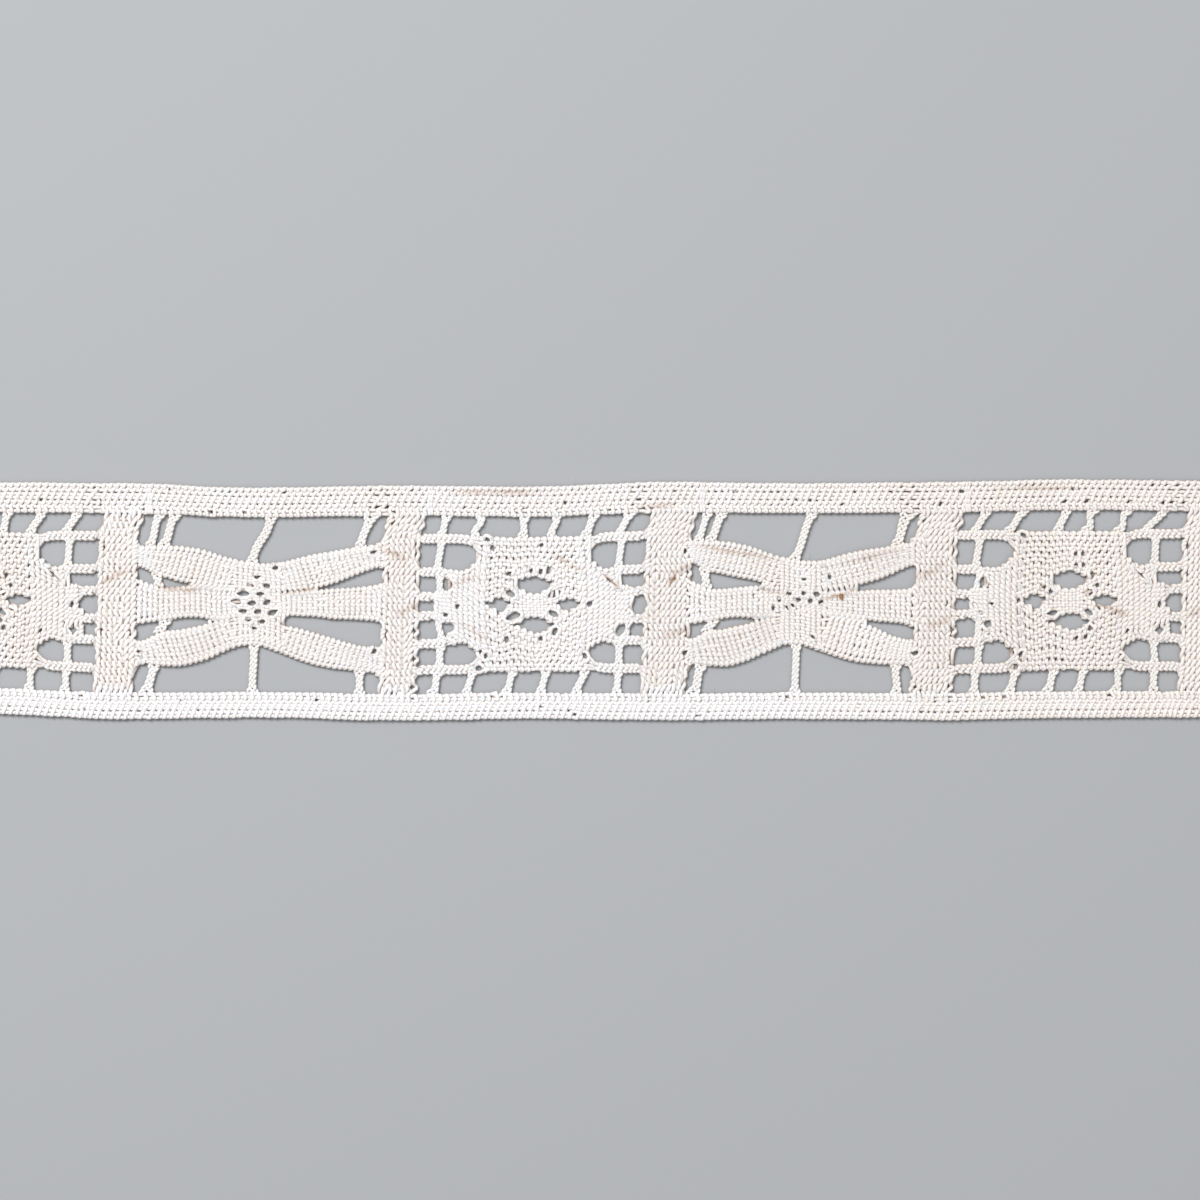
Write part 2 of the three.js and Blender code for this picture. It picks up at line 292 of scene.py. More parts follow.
def panel_sections(i):
    """(x, lanes) of one panel, from bar to bar."""
    panel = PANELS[i]
    left, right = panel_edges(i)
    if isinstance(panel, Square):
        rows = [(x, np.concatenate([paired_lanes(band) for band in bands]))
                for x, bands in LADDER.items()]
        for x in (left + GATHER, -CLOTH_END - OUTSIDE):
            rows.append((x, rung_lanes("left")))
        for x in (-CLOTH_END + INSIDE, LEFT_POST + INSIDE):
            rows.append((x, post_lanes("left")))
        for x in (RIGHT_POST - INSIDE, CLOTH_END - INSIDE):
            rows.append((x, post_lanes("right")))
        for x in (CLOTH_END + OUTSIDE, right - GATHER):
            rows.append((x, rung_lanes("right")))
    else:
        stretch = daisy_stretch(i)
        rows = [(row.x * stretch, daisy_lanes(panel, row.x)) for row in PETALS]
        rows = [row for row in rows if left + GATHER < row[0] < right - GATHER]
        for x, at in ((left + GATHER, left / stretch), (right - GATHER, right / stretch)):
            rows.append((x, daisy_lanes(panel, at)))
    rows.sort(key=lambda row: row[0])
    return [(panel_middle(i) + x, lanes) for x, lanes in rows]


print("from bar to bar, a ladder has", len(panel_sections(0)), "sections, and a daisy has",
      len(panel_sections(1)))

# %% Lay the lanes
STEP = 0.05                      # spacing of the lanes' points
SOFTEN = 0.28                    # how softly a lane bends

# At a bar's right edge the uppermost lanes turn down early, because there the bar leans over:
# the first four by this much, and the next few by less and less.
EARLIEST = 0.4
EARLY = EARLIEST * np.interp(np.arange(INNER_THREADS), [0, 3, 7], [1, 1, 0])
EARLY_REACH = 1.2                # how far round a bar's edge this matters

sections = []
for i, bar in enumerate(BARS):
    flat = bar.width / 2 - PART
    sections += [(BAR_X[i] - flat, EVEN), (BAR_X[i] + flat, EVEN)]
    if bar.pitch:
        sections += panel_sections(i)

GRID = np.arange(LEFT_END, RIGHT_END + STEP, STEP)
section_x = np.array([x for x, _ in sections])
section_lanes = np.array([lanes for _, lanes in sections])
reach = int(3 * SOFTEN / STEP)
bell = np.exp(-0.5 * (np.arange(-reach, reach + 1) * STEP / SOFTEN) ** 2)
bell /= bell.sum()
chance = np.random.default_rng(25)           # a fixed seed, so every run draws the same


def softened(line):
    """A line whose corners are rounded by a running average."""
    return np.convolve(np.pad(line, reach, "edge"), bell, "valid")


def wander(size, length):
    """A slow random drift along the trim, of about this size, that turns every few lengths."""
    knots = np.arange(LEFT_END - length, RIGHT_END + 2 * length, length)
    return softened(np.interp(GRID, knots, chance.normal(0, size, len(knots))))


edge_x = BAR_X[:-1] + np.array([bar.width for bar in BARS[:-1]]) / 2
at_edge = np.abs(section_x[:, None] - edge_x).min(axis=1) < EARLY_REACH
inner = [softened(np.interp(GRID, section_x - early * at_edge, column))
         for early, column in zip(EARLY, section_lanes.T)]
footing_top = [np.full(len(GRID), WIDTH / 2 - offset) for offset in TOP_LANES]
footing_bottom = [np.full(len(GRID), offset - WIDTH / 2) for offset in reversed(BOTTOM_LANES)]
LANES = np.array([*footing_top, *inner, *footing_bottom])
FIRST = len(TOP_LANES)           # the first inner lane's number
LANE_DRIFT = (0.03, 1.6)         # the size and length of the lanes' own drift
LANES += np.array([wander(*LANE_DRIFT) for _ in LANES])
print(f"{len(LANES)} lanes of {len(GRID)} points, in order: {bool((np.diff(section_x) > 0).all())}")

# %% How open the cloth is, and how its strokes lean
# Below each lane the cloth is a little more open in one place and closer in the next. Among
# the inner threads, it is open near the top and bottom, and close in between.
SLOW_CHANGE, QUICK_CHANGE = (0.3, 3.0), (0.25, 0.9)
CLOSE, LEAST_OPEN, MOST_OPEN = 0.45, 0.2, 1.8
OPENNESS = np.array([1 + wander(*SLOW_CHANGE) + wander(*QUICK_CHANGE) for _ in LANES])
from_middle = np.abs(np.arange(len(LANES)) - FIRST - INNER_THREADS / 2 + 0.5)
OPENNESS *= np.interp(from_middle, [6, 8], [CLOSE, 1.0])[:, None]
OPENNESS = np.clip(OPENNESS, LEAST_OPEN, MOST_OPEN)

# Which way the strokes of a rope lean changes from place to place, a few lanes at a time.
STROKE_DRIFT, TOGETHER = (0.8, 3.0), 3
drifts = [wander(*STROKE_DRIFT) for _ in range(0, len(LANES), TOGETHER)]
STROKES = np.repeat(drifts, TOGETHER, axis=0)[:len(LANES)]


def along(table, k, x):
    """The value at x in row k of a table laid out like LANES. Both may be arrays."""
    at = np.clip((np.asarray(x, float) - GRID[0]) / STEP, 0, len(GRID) - 1.001)
    i = at.astype(int)
    return table[k, i] * (1 - at + i) + table[k, i + 1] * (at - i)


def lane(k, x):
    """The height of lane k at x."""
    return along(LANES, k, x)


print(f"the cloth's openness runs from {OPENNESS.min():.2f} to {OPENNESS.max():.2f}")

# %% [markdown]
# ## The weavers
# A weaver is a thread that goes to and fro across the lanes. It passes over one lengthwise
# thread and under the next, and turns round the last one. Two passes side by side are also
# twisted round each other between the lanes. Where a pass twists now with its left and now
# with its right neighbour, lace gets its staggered pinholes. Where two passes always twist
# with each other they make a rope, and its strokes all slant one way.
# So a pass is drawn as a flat helix: over and under by LIFT, and from side to side by sway.

# %% What tells one weave from another
LEVEL = 0.34                     # height of the cloth's middle above the table
LIFT = 0.19                      # a weaver rises and dips this far from the middle
DIP = 0.08                       # and presses a lengthwise thread the other way by this much
FULL_GAP, LEAST_LIFT = 0.42, 0.7             # between closer lanes it lifts less, by this share
BETWEEN = 0.07                   # where a rope's two passes cross, both ride up a little
MOST_SWAY = 0.6                  # a pass sways to the side by this share of a gap at most
WIDEST, LEAST_SWAY = 1.4, 0.1    # across a wider gap than this it runs nearly straight
STRAIGHTENS = 0.4                # and it starts to do so when the gap is this much smaller
REST = 0.1                       # it runs on this far beyond the outermost lanes' middles
PULLED = [0.1, 0.75, 1]          # what the first, second and all further lanes feel of the pull
OPEN_GAP = 1.0                   # across a wider gap than this two passes make a free rope
HALF_TURN = 0.62                 # and this length of it makes half a turn
ROPE_SWING, ROPE_RISE = 0.13, 0.12           # each swings out to the side and up by this much
UNEVEN = 0.3                     # no two pinholes are alike
JITTER = 0.02                    # and no two passes are quite evenly spaced
crossings = [[] for _ in LANES]  # for each lane, (x, height) of what presses on it

# pull is 0 where passes are evenly spaced and 1 where two and two make a rope. Where hand is 1
# the strokes lean like a slash, and where it is -1 they lean back. lean(x, y) shifts a pass
# sideways by its height, and swell(x, lanes) bends it in the gaps between lanes. Lanes in
# joined are crossed together with the next lane, and loop is how far a turn goes beyond the
# last lane. With a chevron, a pass zigzags from lane to lane.
Weave = namedtuple("Weave", "spacing sway hand pull lean joined loop chevron swell",
                   defaults=(0.0, None, (), 0.13, 0.0, None))
print("a weave is told by its", ", ".join(Weave._fields))


# %% One pass of a weaver
def free_rope(start, end, over, swell):
    """Points across an open gap, wound round the neighbouring pass. Both ends are left out."""
    gap = start[1] - end[1]
    half_turns = 2 * round((gap / HALF_TURN - 1) / 2) + 1
    t = np.linspace(0, 1, 2 * half_turns + 2)[1:-1]
    turn = np.pi * half_turns * t
    x = start[0] + (end[0] - start[0]) * t - over * ROPE_SWING * np.sin(turn)
    x += swell * gap * 4 * t * (1 - t)
    return list(zip(x, start[1] - gap * t, LEVEL + over * ROPE_RISE * np.cos(turn)))


def one_pass(x0, j, lanes, kind, pulled):
    """The points of pass j at x0, from the first lane down to the last."""
    from_edge = np.minimum(np.arange(len(lanes)), np.arange(len(lanes))[::-1])
    x = x0 + pulled * np.interp(from_edge, [0, 1, 2], PULLED)
    x = x + kind.chevron * np.where(lanes % 2 == 0, 0.5, -0.5)
    if kind.lean:
        x = x + kind.lean(x0, lane(lanes, x))
    y = lane(lanes, x)
    apart = np.array([k not in kind.joined for k in lanes[:-1]], float)
    unit = np.concatenate([[0], np.cumsum(apart)]) + lanes[0]
    over = np.where((unit + j) % 2 == 0, 1.0, -1.0)
    for k, xk, side in zip(lanes, x, over):
        crossings[k].append((xk, -side * DIP))
    gap = y[:-1] - y[1:]
    slide = np.minimum(kind.sway, MOST_SWAY * gap)
    slide *= np.clip((WIDEST - gap) / STRAIGHTENS, LEAST_SWAY, 1)
    hand = np.full(len(gap), float(kind.hand))
    if kind.pull:
        hand = np.where(hand + along(STROKES, lanes[:-1], x[:-1]) > 0, 1.0, -1.0)
    slide *= apart * hand * chance.uniform(1 - UNEVEN, 1 + UNEVEN, len(gap))
    slide *= 1 + (along(OPENNESS, lanes[:-1], x[:-1]) - 1) * (1 - kind.pull)
    tight = np.minimum(np.append(gap, gap[-1:]), np.insert(gap, 0, gap[:1]))
    rise = LEVEL + over * LIFT * np.clip(tight / FULL_GAP, LEAST_LIFT, 1)
    # over or under each lane it runs level, for a sixth of the gap on either side
    above, below = np.insert(gap / 6, 0, REST), np.append(gap / 6, REST)
    lean_above, lean_below = np.insert(slide, 0, 0) / 2, np.append(slide, 0) / 2
    swell = kind.swell(x0, lanes) if kind.swell else np.zeros(len(gap))
    points = []
    for n in range(len(lanes)):
        points.append((x[n] + lean_above[n] * over[n], y[n] + above[n], rise[n]))
        points.append((x[n] - lean_below[n] * over[n], y[n] - below[n], rise[n]))
        if n < len(lanes) - 1 and gap[n] > OPEN_GAP:
            points += free_rope((x[n], y[n] - below[n]), (x[n + 1], y[n + 1] + above[n + 1]),
                                over[n], swell[n])
        elif n < len(lanes) - 1 and apart[n]:
            middle = (x[n] + x[n + 1]) / 2 - slide[n] * over[n]
            points.append((middle, (y[n] + y[n + 1]) / 2, LEVEL + BETWEEN * kind.pull))
    return points


print(f"the cloth is {2 * LIFT + PRESSED[1]:.2f} mm thick")

# %% One weaver, to and fro
Stretch = namedtuple("Stretch", "start end first last")


def weave(stretches, kind):
    """One weaver's points. Stretches say which lanes it crosses from start to end."""
    start, end = stretches[0].start, stretches[-1].end
    count = max(2, round((end - start) / kind.spacing))
    step = (end - start) / count
    points = []
    for j in range(count + 1):
        up = j % 2 == 0
        x0 = start + step * j
        now = next((s for s in stretches if x0 <= s.end + step / 2), stretches[-1])
        x0 += chance.normal(0, JITTER)
        pulled = (0.5 if up else -0.5) * step * kind.pull
        there = one_pass(x0, j, np.arange(now.first, now.last + 1), kind, pulled)
        there = there[::-1] if up else there
        if points:
            # the turn between two passes has two corners, each near the pass it belongs to
            (x1, y1, z1), (x2, y2, z2) = points[-1], there[0]
            out = min(y1, y2) + REST - kind.loop if up else max(y1, y2) - REST + kind.loop
            points.append((0.8 * x1 + 0.2 * x2, out, 0.6 * LEVEL + 0.4 * z1))
            points.append((0.2 * x1 + 0.8 * x2, out, 0.6 * LEVEL + 0.4 * z2))
        points += there
    return np.array(points)


threads = {}                     # piece name: its threads, each an array of points


def tell(name):
    """Prints how many points a piece's threads have so far."""
    print(name, sum(len(points) for points in threads[name]), "points")


print("a weaver is ready")

# %% [markdown]
# ## Footings and bars
# The footings are the dense edges by which the trim is sewn on. Each one has its own weaver
# from end to end. Some of its lanes lie side by side as one, which makes the smooth ridges
# between the rows of pinholes. A bar's weaver crosses all the inner lanes and the innermost
# one of each footing, and that ties the two edges together.

# %% Weave the footings and the bars
FOOTING_END = 0.3                # the cloth stops this far from the trim's ends
last_lane = len(LANES) - 1
top_footing = Weave(spacing=0.375, sway=0.09, hand=1, joined=(2, 5), loop=0.07, chevron=0.16)
bottom_footing = top_footing._replace(sway=0.08, joined=(31, 34, 36))
bar_cloth = Weave(spacing=0.29, sway=0.17, hand=0.3, pull=1.0)
BAR_START, BAR_STOP = 0.1, 0.2   # a bar's first and last pass run this far inside its edges
SWELL, SWELL_VARIES = 0.10, 0.10             # a bar's edge swells by this share of each gap
SWELL_REACH = 1.4                # and its passes follow this far into the bar
# but here a bar's left edge is hollow: (after which inner lane, and by what share)
HOLLOWS = {3: (11, -0.34)}

first_x, last_x = LEFT_END + FOOTING_END, RIGHT_END - FOOTING_END
threads["footing_weavers"] = [
    weave([Stretch(first_x, last_x, 0, FIRST - 1)], top_footing),
    weave([Stretch(first_x, last_x, FIRST + INNER_THREADS, last_lane)], bottom_footing),
]


def swelling(n):
    """Bar n's edges swell outwards between the rungs, here more and there less."""
    x, bar = BAR_X[n], BARS[n]
    amounts = chance.normal(SWELL, SWELL_VARIES, (2, len(LANES)))
    if n in HOLLOWS:
        after, amount = HOLLOWS[n]
        amounts[0, FIRST + after] = amount

    def swell(x0, lanes):
        left = 1 - reached(x0 - x + bar.width / 2, SWELL_REACH)
        right = 1 - reached(x + bar.width / 2 - x0, SWELL_REACH)
        return right * amounts[1, lanes[:-1]] - left * amounts[0, lanes[:-1]]
    return swell


threads["bar_weavers"] = []
for n, (x, bar) in enumerate(zip(BAR_X, BARS)):
    start = max(x - bar.width / 2 + BAR_START, first_x)
    end = min(x + bar.width / 2 - BAR_STOP, last_x)
    across = Stretch(start, end, FIRST - 1, FIRST + INNER_THREADS)
    threads["bar_weavers"].append(weave([across], bar_cloth._replace(swell=swelling(n))))
tell("footing_weavers")
tell("bar_weavers")

# %% [markdown]
# ## Wreaths and petals
# Where the lanes part round a gap, so must the weavers: a thread can't cross an opening. So
# each wreath has one weaver at its left end and one at its right end, two in the band above
# its gaps, two in the band below them, and one in the bridge between its middle gaps.
# A daisy has one weaver in each of its four outer petals. Its two middle petals share one,
# which crosses all three tiers of the heart on its way. The heart's open net is made later.

# %% Weave the wreaths
def inner_weaver(i, rows, kind, stretch=1.0):
    """A weaver among panel i's inner lanes. Rows are (start, end, first, last)."""
    middle = panel_middle(i)
    return weave([Stretch(middle + start * stretch, middle + end * stretch, FIRST + first, FIRST + last)
                  for start, end, first, last in rows], kind)


BOW = 0.55                       # the passes of a wreath bow outwards by this much
BOW_HALF = 7.4                   # over this height above and below its middle
# and the bow has this share of it at these distances to the left and right of the middle
BOW_AT, BOW_SHARES = [2.5, 5, 8.5, 10], [0, 1, 1, 0.3]


def bowed(i, side):
    """Passes bow outwards, most of all where the wreath is tall, and not at all at its middle."""
    def lean(x, y):
        out = np.interp(abs(x - panel_middle(i)), BOW_AT, BOW_SHARES)
        return side * BOW * out * (1 - (y / BOW_HALF) ** 2)
    return lean


# (start, end, first lane, last lane) of each weaver, about the panel's middle
WREATH_ENDS = {
    -1: [(-10.4, -8.6, 8, 15), (-8.6, -5.75, 4, 19), (-5.75, -4.85, 0, 23)],
    1: [(4.8, 5.35, 0, 23), (5.35, 8.5, 4, 19), (8.5, 10.2, 8, 15)],
}
LONG_END = [(4.8, 5.35, 0, 23), (5.35, 8.5, 4, 19), (8.5, 10.0, 8, 19), (10.0, 10.6, 12, 19)]
LONG_ENDED = (0, 4)              # in these panels the wreath's right end closes a cell in part
WREATH_BANDS = {
    -1: [[(-4.85, -2.2, 0, 11), (-2.2, -0.1, 0, 7)], [(-4.85, -2.2, 12, 23), (-2.2, -0.1, 16, 23)]],
    1: [[(0.3, 2.2, 0, 7), (2.2, 4.8, 0, 11)], [(0.3, 2.2, 16, 23), (2.2, 4.8, 12, 23)]],
}
WREATH_BRIDGE = [(-2.3, 2.3, 8, 15)]
bridge = Weave(spacing=0.40, sway=0.1, hand=-1)
threads["wreath_weavers"] = []
for i, panel in enumerate(PANELS):
    if isinstance(panel, Square):
        for side in (-1, 1):
            bow = bowed(i, side)
            ends = Weave(spacing=0.30, sway=0.16, hand=side, pull=1.0, lean=bow)
            bands = Weave(spacing=0.355, sway=0.082, hand=side, lean=bow, chevron=0.1)
            end_rows = LONG_END if side == 1 and i in LONG_ENDED else WREATH_ENDS[side]
            threads["wreath_weavers"].append(inner_weaver(i, end_rows, ends))
            for rows in WREATH_BANDS[side]:
                threads["wreath_weavers"].append(inner_weaver(i, rows, bands))
        threads["wreath_weavers"].append(inner_weaver(i, WREATH_BRIDGE, bridge))
tell("wreath_weavers")

# %% Weave the daisies
HEART = 2.5                      # one weaver crosses all three tiers this far from the middle
OUTER = HEART + 0.3              # and the outer petals' weavers begin here
PETAL_END = 0.2                  # they stop this far from the bars
# Near the heart, where the gap beside it is closed, an outer petal's weaver also takes in the
# middle petal's nearest thread. These are the tips of the upper right and the lower left gap.
UPPER_RIGHT_TIP, LOWER_LEFT_TIP = 5.4, -4.8
TILT = 0.30                      # passes lie square to a petal, which rises or falls to its end
HALF_BAR, TILT_FADE = 2.3, 1.5   # but over this length next to the bars they turn upright


def tilted(i, tilt):
    """Passes tilt about their middle by this much sideways for each unit of height."""
    def lean(x, y):
        from_bar = BARS[i].pitch / 2 - HALF_BAR - abs(x - panel_middle(i))
        return tilt * (y - y.mean()) * reached(from_bar, TILT_FADE)
    return lean


threads["petal_weavers"] = []
for i, panel in enumerate(PANELS):
    if isinstance(panel, Daisy):
        stretch = daisy_stretch(i)
        left, right = panel_edges(i)
        left, right = left / stretch + PETAL_END, right / stretch - PETAL_END
        upper_tip, lower_tip = panel.upper_tip.x, panel.lower_tip.x
        for hand, rows in (
            (1, [(left, upper_tip, 0, 7), (upper_tip, -OUTER, 0, 8)]),
            (-1, [(OUTER, UPPER_RIGHT_TIP, 0, 8), (UPPER_RIGHT_TIP, right, 0, 7)]),
            (-0.5, [(left, -HEART, 8, 15), (-HEART, HEART, 0, 23), (HEART, right, 8, 15)]),
            (-1, [(left, LOWER_LEFT_TIP, 16, 23), (LOWER_LEFT_TIP, -OUTER, 15, 23)]),
            (1, [(OUTER, lower_tip, 15, 23), (lower_tip, right, 16, 23)]),
        ):
            # the middle petals lie level, so only the outer ones' passes tilt
            lean = tilted(i, TILT * hand if abs(hand) == 1 else 0.0)
            petal_cloth = Weave(spacing=0.285, sway=0.11, hand=hand, pull=1.0, lean=lean)
            threads["petal_weavers"].append(inner_weaver(i, rows, petal_cloth, stretch))
tell("petal_weavers")

# %% [markdown]
# ## Plaits
# Between the cloth parts run plaits of four threads. Each thread swings from side to side, a
# quarter turn behind the next, and crosses over and under the others as it goes. That path is
# a wave across with a wave three times as quick in height, so no simulation is needed.

# %% A plait's path
PLAIT_TURN = 2.3                 # length in which each thread has swung across and back
PLAIT_RISE = 0.17                # a thread rises and dips this far as it crosses the others
PLAIT_STEP = PLAIT_TURN / 14     # distance between its points
FLARE, FLARE_LENGTH = 0.85, 0.6  # a plait spreads by this share, over this length, where it joins
SLACK = 0.1                      # no two plaits are drawn equally tight
TUCK = 0.45                      # its ends run this far into the cloth
TUCKED_RISE, TUCKED_DEPTH = 0.4, 0.10        # where it rises less, and lies this much deeper


def plaited(distance, strand, swing):
    """A strand's offsets from the plait's middle line, across and in height."""
    turn = 2 * np.pi * (distance / PLAIT_TURN + strand / 4)
    return -swing * np.cos(turn), -PLAIT_RISE * np.sin(3 * turn)


def ramp(x, start, end, length=0.4):
    """0 outside start to end, 1 inside, and soft between."""
    t = reached(np.minimum(x - start, end - x), length)
    return t * t * (3 - 2 * t)


def plait(start, end, swing, bend, tuck=TUCK):
    """Four strands from start to end. Both ends tuck into the cloth and dip under it."""
    start, end = np.array(start, float), np.array(end, float)
    length = np.linalg.norm(end - start)
    way = (end - start) / length
    side = np.array([-way[1], way[0]])
    distance = np.arange(-tuck, length + tuck + PLAIT_STEP, PLAIT_STEP)
    inside = ramp(distance, -tuck, length + tuck, 2 * tuck)
    bow = bend * np.sin(2 * np.pi * reached(distance, length))
    spread = chance.uniform(1 - SLACK, 1 + SLACK)
    spread += FLARE * (1 - ramp(distance, 0, length, FLARE_LENGTH))
    first_turn = chance.uniform(0, PLAIT_TURN)
    strands = []
    for strand in range(4):
        across, height = plaited(distance + first_turn, strand, swing)
        across = across * spread + bow
        xy = start + np.outer(distance, way) + np.outer(across, side)
        height *= TUCKED_RISE + (1 - TUCKED_RISE) * inside
        strands.append(np.column_stack([xy, LEVEL + height - TUCKED_DEPTH * (1 - inside)]))
    return strands


print(f"a plait turns every {PLAIT_TURN} mm")

# %% Lengthwise threads, which plait themselves into the rungs
RUNG_SWING = 0.37                # a rung's threads swing this far from its middle line
FROM_BAR = 0.1                   # and its plait begins this far from the bar
LONGEST_STEP = 0.6               # a lengthwise thread's points lie no further apart than this
CLOSEST = 0.02                   # and no closer than this
LEAST_FRAY, MOST_FRAY = 0.02, 0.25           # its cut ends lie this far inside the trim's ends

# where each rung's plait ends on the wreath's left side, and starts again on its right side
RUNG_ENDS = [(-6.3, 6.4), (-9.1, 8.8), (-10.7, 10.7), (-10.7, 10.7), (-9.1, 8.8), (-6.3, 6.4)]

spans = []                       # (first lane, start, end) of each rung's plaits
for i, panel in enumerate(PANELS):
    if isinstance(panel, Square):
        middle, (left, right) = panel_middle(i), panel_edges(i)
        for r, (left_end, right_start) in enumerate(RUNG_ENDS):
            spans.append((FIRST + 4 * r, middle + left + FROM_BAR, middle + left_end))
            spans.append((FIRST + 4 * r, middle + right_start, middle + right - FROM_BAR))


def lengthwise(k):
    """Lane k's thread, pressed down and up by the weavers that cross it."""
    start = LEFT_END + chance.uniform(LEAST_FRAY, MOST_FRAY)
    end = RIGHT_END - chance.uniform(LEAST_FRAY, MOST_FRAY)
    x, z = np.array(sorted([(start, 0.0), *crossings[k], (end, 0.0)])).T
    keep = np.insert(np.diff(x) > CLOSEST, 0, True)
    x, z = x[keep], z[keep]
    mine = [span for span in spans if span[0] <= k < span[0] + 4]
    extra = [x]
    for a, b in zip(x[:-1], x[1:]):
        if b - a > LONGEST_STEP:
            in_rung = any(start < (a + b) / 2 < end for _, start, end in mine)
            longest = PLAIT_STEP if in_rung else LONGEST_STEP
            extra.append(np.linspace(a, b, int((b - a) / longest) + 2)[1:-1])
    full = np.sort(np.concatenate(extra))
    height = np.where(np.isin(full, x), np.interp(full, x, z), 0.0)
    y = lane(k, full)
    for first, start, end in mine:
        near = (full > start) & (full < end)
        share = ramp(full[near], start, end)
        centre = np.mean([lane(first + n, full[near]) for n in range(4)], axis=0)
        across, rise = plaited(full[near], k - first, RUNG_SWING)
        y[near] += share * (centre + across - y[near])
        height[near] += share * (rise - height[near])
    return np.column_stack([full, y, LEVEL + height])


threads["lengthwise_threads"] = [lengthwise(k) for k in range(len(LANES))]
tell("lengthwise_threads")

# %% Upright plaits of the ladders
# (foot, head) of the uprights above and below each wreath, about the panel's middle
TOP_ROWS = {
    0: [(-9.97, -9.1), (-6.15, -5.4), (-1.1, -0.6), (2.2, 2.76), (5.29, 6.29), (9.05, 10.12)],
    2: [(-9.93, -9.29), (-6.18, -5.75), (-1.18, -0.91), (1.99, 2.42), (5.64, 6.5), (9.29, 10.2)],
    4: [(-10.1, -8.9), (-6.4, -4.9), (-1.05, -0.3), (1.9, 2.7), (5.35, 6.35), (8.4, 10.05)],
}
BOTTOM_ROWS = {
    0: [(-10.5, -10.05), (-6.7, -6.15), (-2.5, -1.8), (0.9, 1.45), (4.98, 5.37), (8.82, 9.13)],
    2: [(-10.8, -10.2), (-7.14, -6.6), (-2.9, -2.2), (0.8, 1.34), (4.67, 5.42), (8.93, 9.1)],
    4: [(-10.2, -10.0), (-6.31, -5.7), (-2.24, -1.55), (1.05, 1.59), (5.04, 5.5), (9.11, 9.11)],
}
# A post stands between two rungs, given by their numbers from the top.
Post = namedtuple("Post", "side foot head upper lower")
POSTS = [Post("left", -10.25, -9.95, 0, 1), Post("left", -10.0, -9.98, 1, 2),
         Post("left", -10.0, -10.0, 3, 4), Post("left", -10.15, -10.0, 4, 5),
         Post("right", 9.2, 9.4, 0, 1), Post("right", 9.15, 9.2, 4, 5)]
MIDDLE_POST = Post("right", 9.7, 10.0, 3, 4)    # the middle ladder has one more
SHIFTED = {4: 0.35}              # and the last ladder's left posts stand this much further in
UPRIGHT_SWING = 0.25             # an upright's threads swing this far from its middle line
BEND = 0.08                      # and it bends from side to side by about this much
FROM_RUNG = 0.3                  # it meets a rung this far from the rung's middle line
POST_TUCK = 0.35                 # and a post is tucked in a little less than the others


def upright(i, foot, head, tuck=TUCK):
    """Four strands between two places, given as (x, y) about panel i's middle."""
    foot, head = ((panel_middle(i) + x, y) for x, y in (foot, head))
    return plait(foot, head, UPRIGHT_SWING, chance.normal(0, BEND), tuck)


threads["plaits"] = []
for i, panel in enumerate(PANELS):
    if not isinstance(panel, Square):
        continue
    top_y, bottom_y = RUNGS[0].left + FROM_RUNG, RUNGS[-1].left - FROM_RUNG
    for foot, head in TOP_ROWS[i]:
        threads["plaits"] += upright(i, (foot, top_y), (head, TOP_INNER))
    for foot, head in BOTTOM_ROWS[i]:
        threads["plaits"] += upright(i, (foot, BOTTOM_INNER), (head, bottom_y))
    for post in POSTS + [MIDDLE_POST] * (i == len(PANELS) // 2):
        low_y = getattr(RUNGS[post.lower], post.side) + FROM_RUNG
        high_y = getattr(RUNGS[post.upper], post.side) - FROM_RUNG
        shift = SHIFTED.get(i, 0) if post.side == "left" else 0
        threads["plaits"] += upright(i, (post.foot + shift, low_y), (post.head + shift, high_y),
                                     POST_TUCK)
print(len(threads["plaits"]) // 4, "plaits in the ladders")

# %% Plaits of the daisies
LINK_SWING = 0.29                # a link's threads swing this far from its middle line

# A link runs from what lies over it down to what lies under it.
Link = namedtuple("Link", "over under top_x bottom_x")
LINKS = [
    Link("top_footing", "upper_t", -10.4, -11.35),
    Link("top_footing", "upper_t", -8.75, -9.9),
    Link("top_footing", "upper_t", 1.25, -0.65),
    Link("top_footing", "upper_t", 11.55, 10.7),
    Link("upper_b", "middle_t", -10.6, -10.45),
    Link("middle_b", "lower_t", -9.75, -10.3),
    Link("lower_b", "bottom_footing", -10.95, -11.6),
    Link("lower_b", "bottom_footing", -0.5, -0.65),
    Link("lower_b", "bottom_footing", 10.55, 10.55),
]


def link_end(i, name, x):
    """Where a link meets a footing or the edge of a petal in panel i."""
    footings = {"top_footing": TOP_INNER, "bottom_footing": BOTTOM_INNER}
    y = footings[name] if name in footings else petal_edge(PANELS[i], name, x)
    return panel_middle(i) + x * daisy_stretch(i), y


for i, panel in enumerate(PANELS):
    if isinstance(panel, Daisy):
        for link in LINKS:
            head, foot = link_end(i, link.over, link.top_x), link_end(i, link.under, link.bottom_x)
            threads["plaits"] += plait(foot, head, LINK_SWING, chance.normal(0, BEND))
print(len(threads["plaits"]) // 4, "plaits in all")

# %% [markdown]
# ## Small holes
# Here and there a gap between threads is wider than its neighbours, because a pin stood in it
# while the lace was made. Such a hole is opened as a pin would: every thread near the pin is
# pushed straight away from it, strongly when it is close and hardly at all further out.

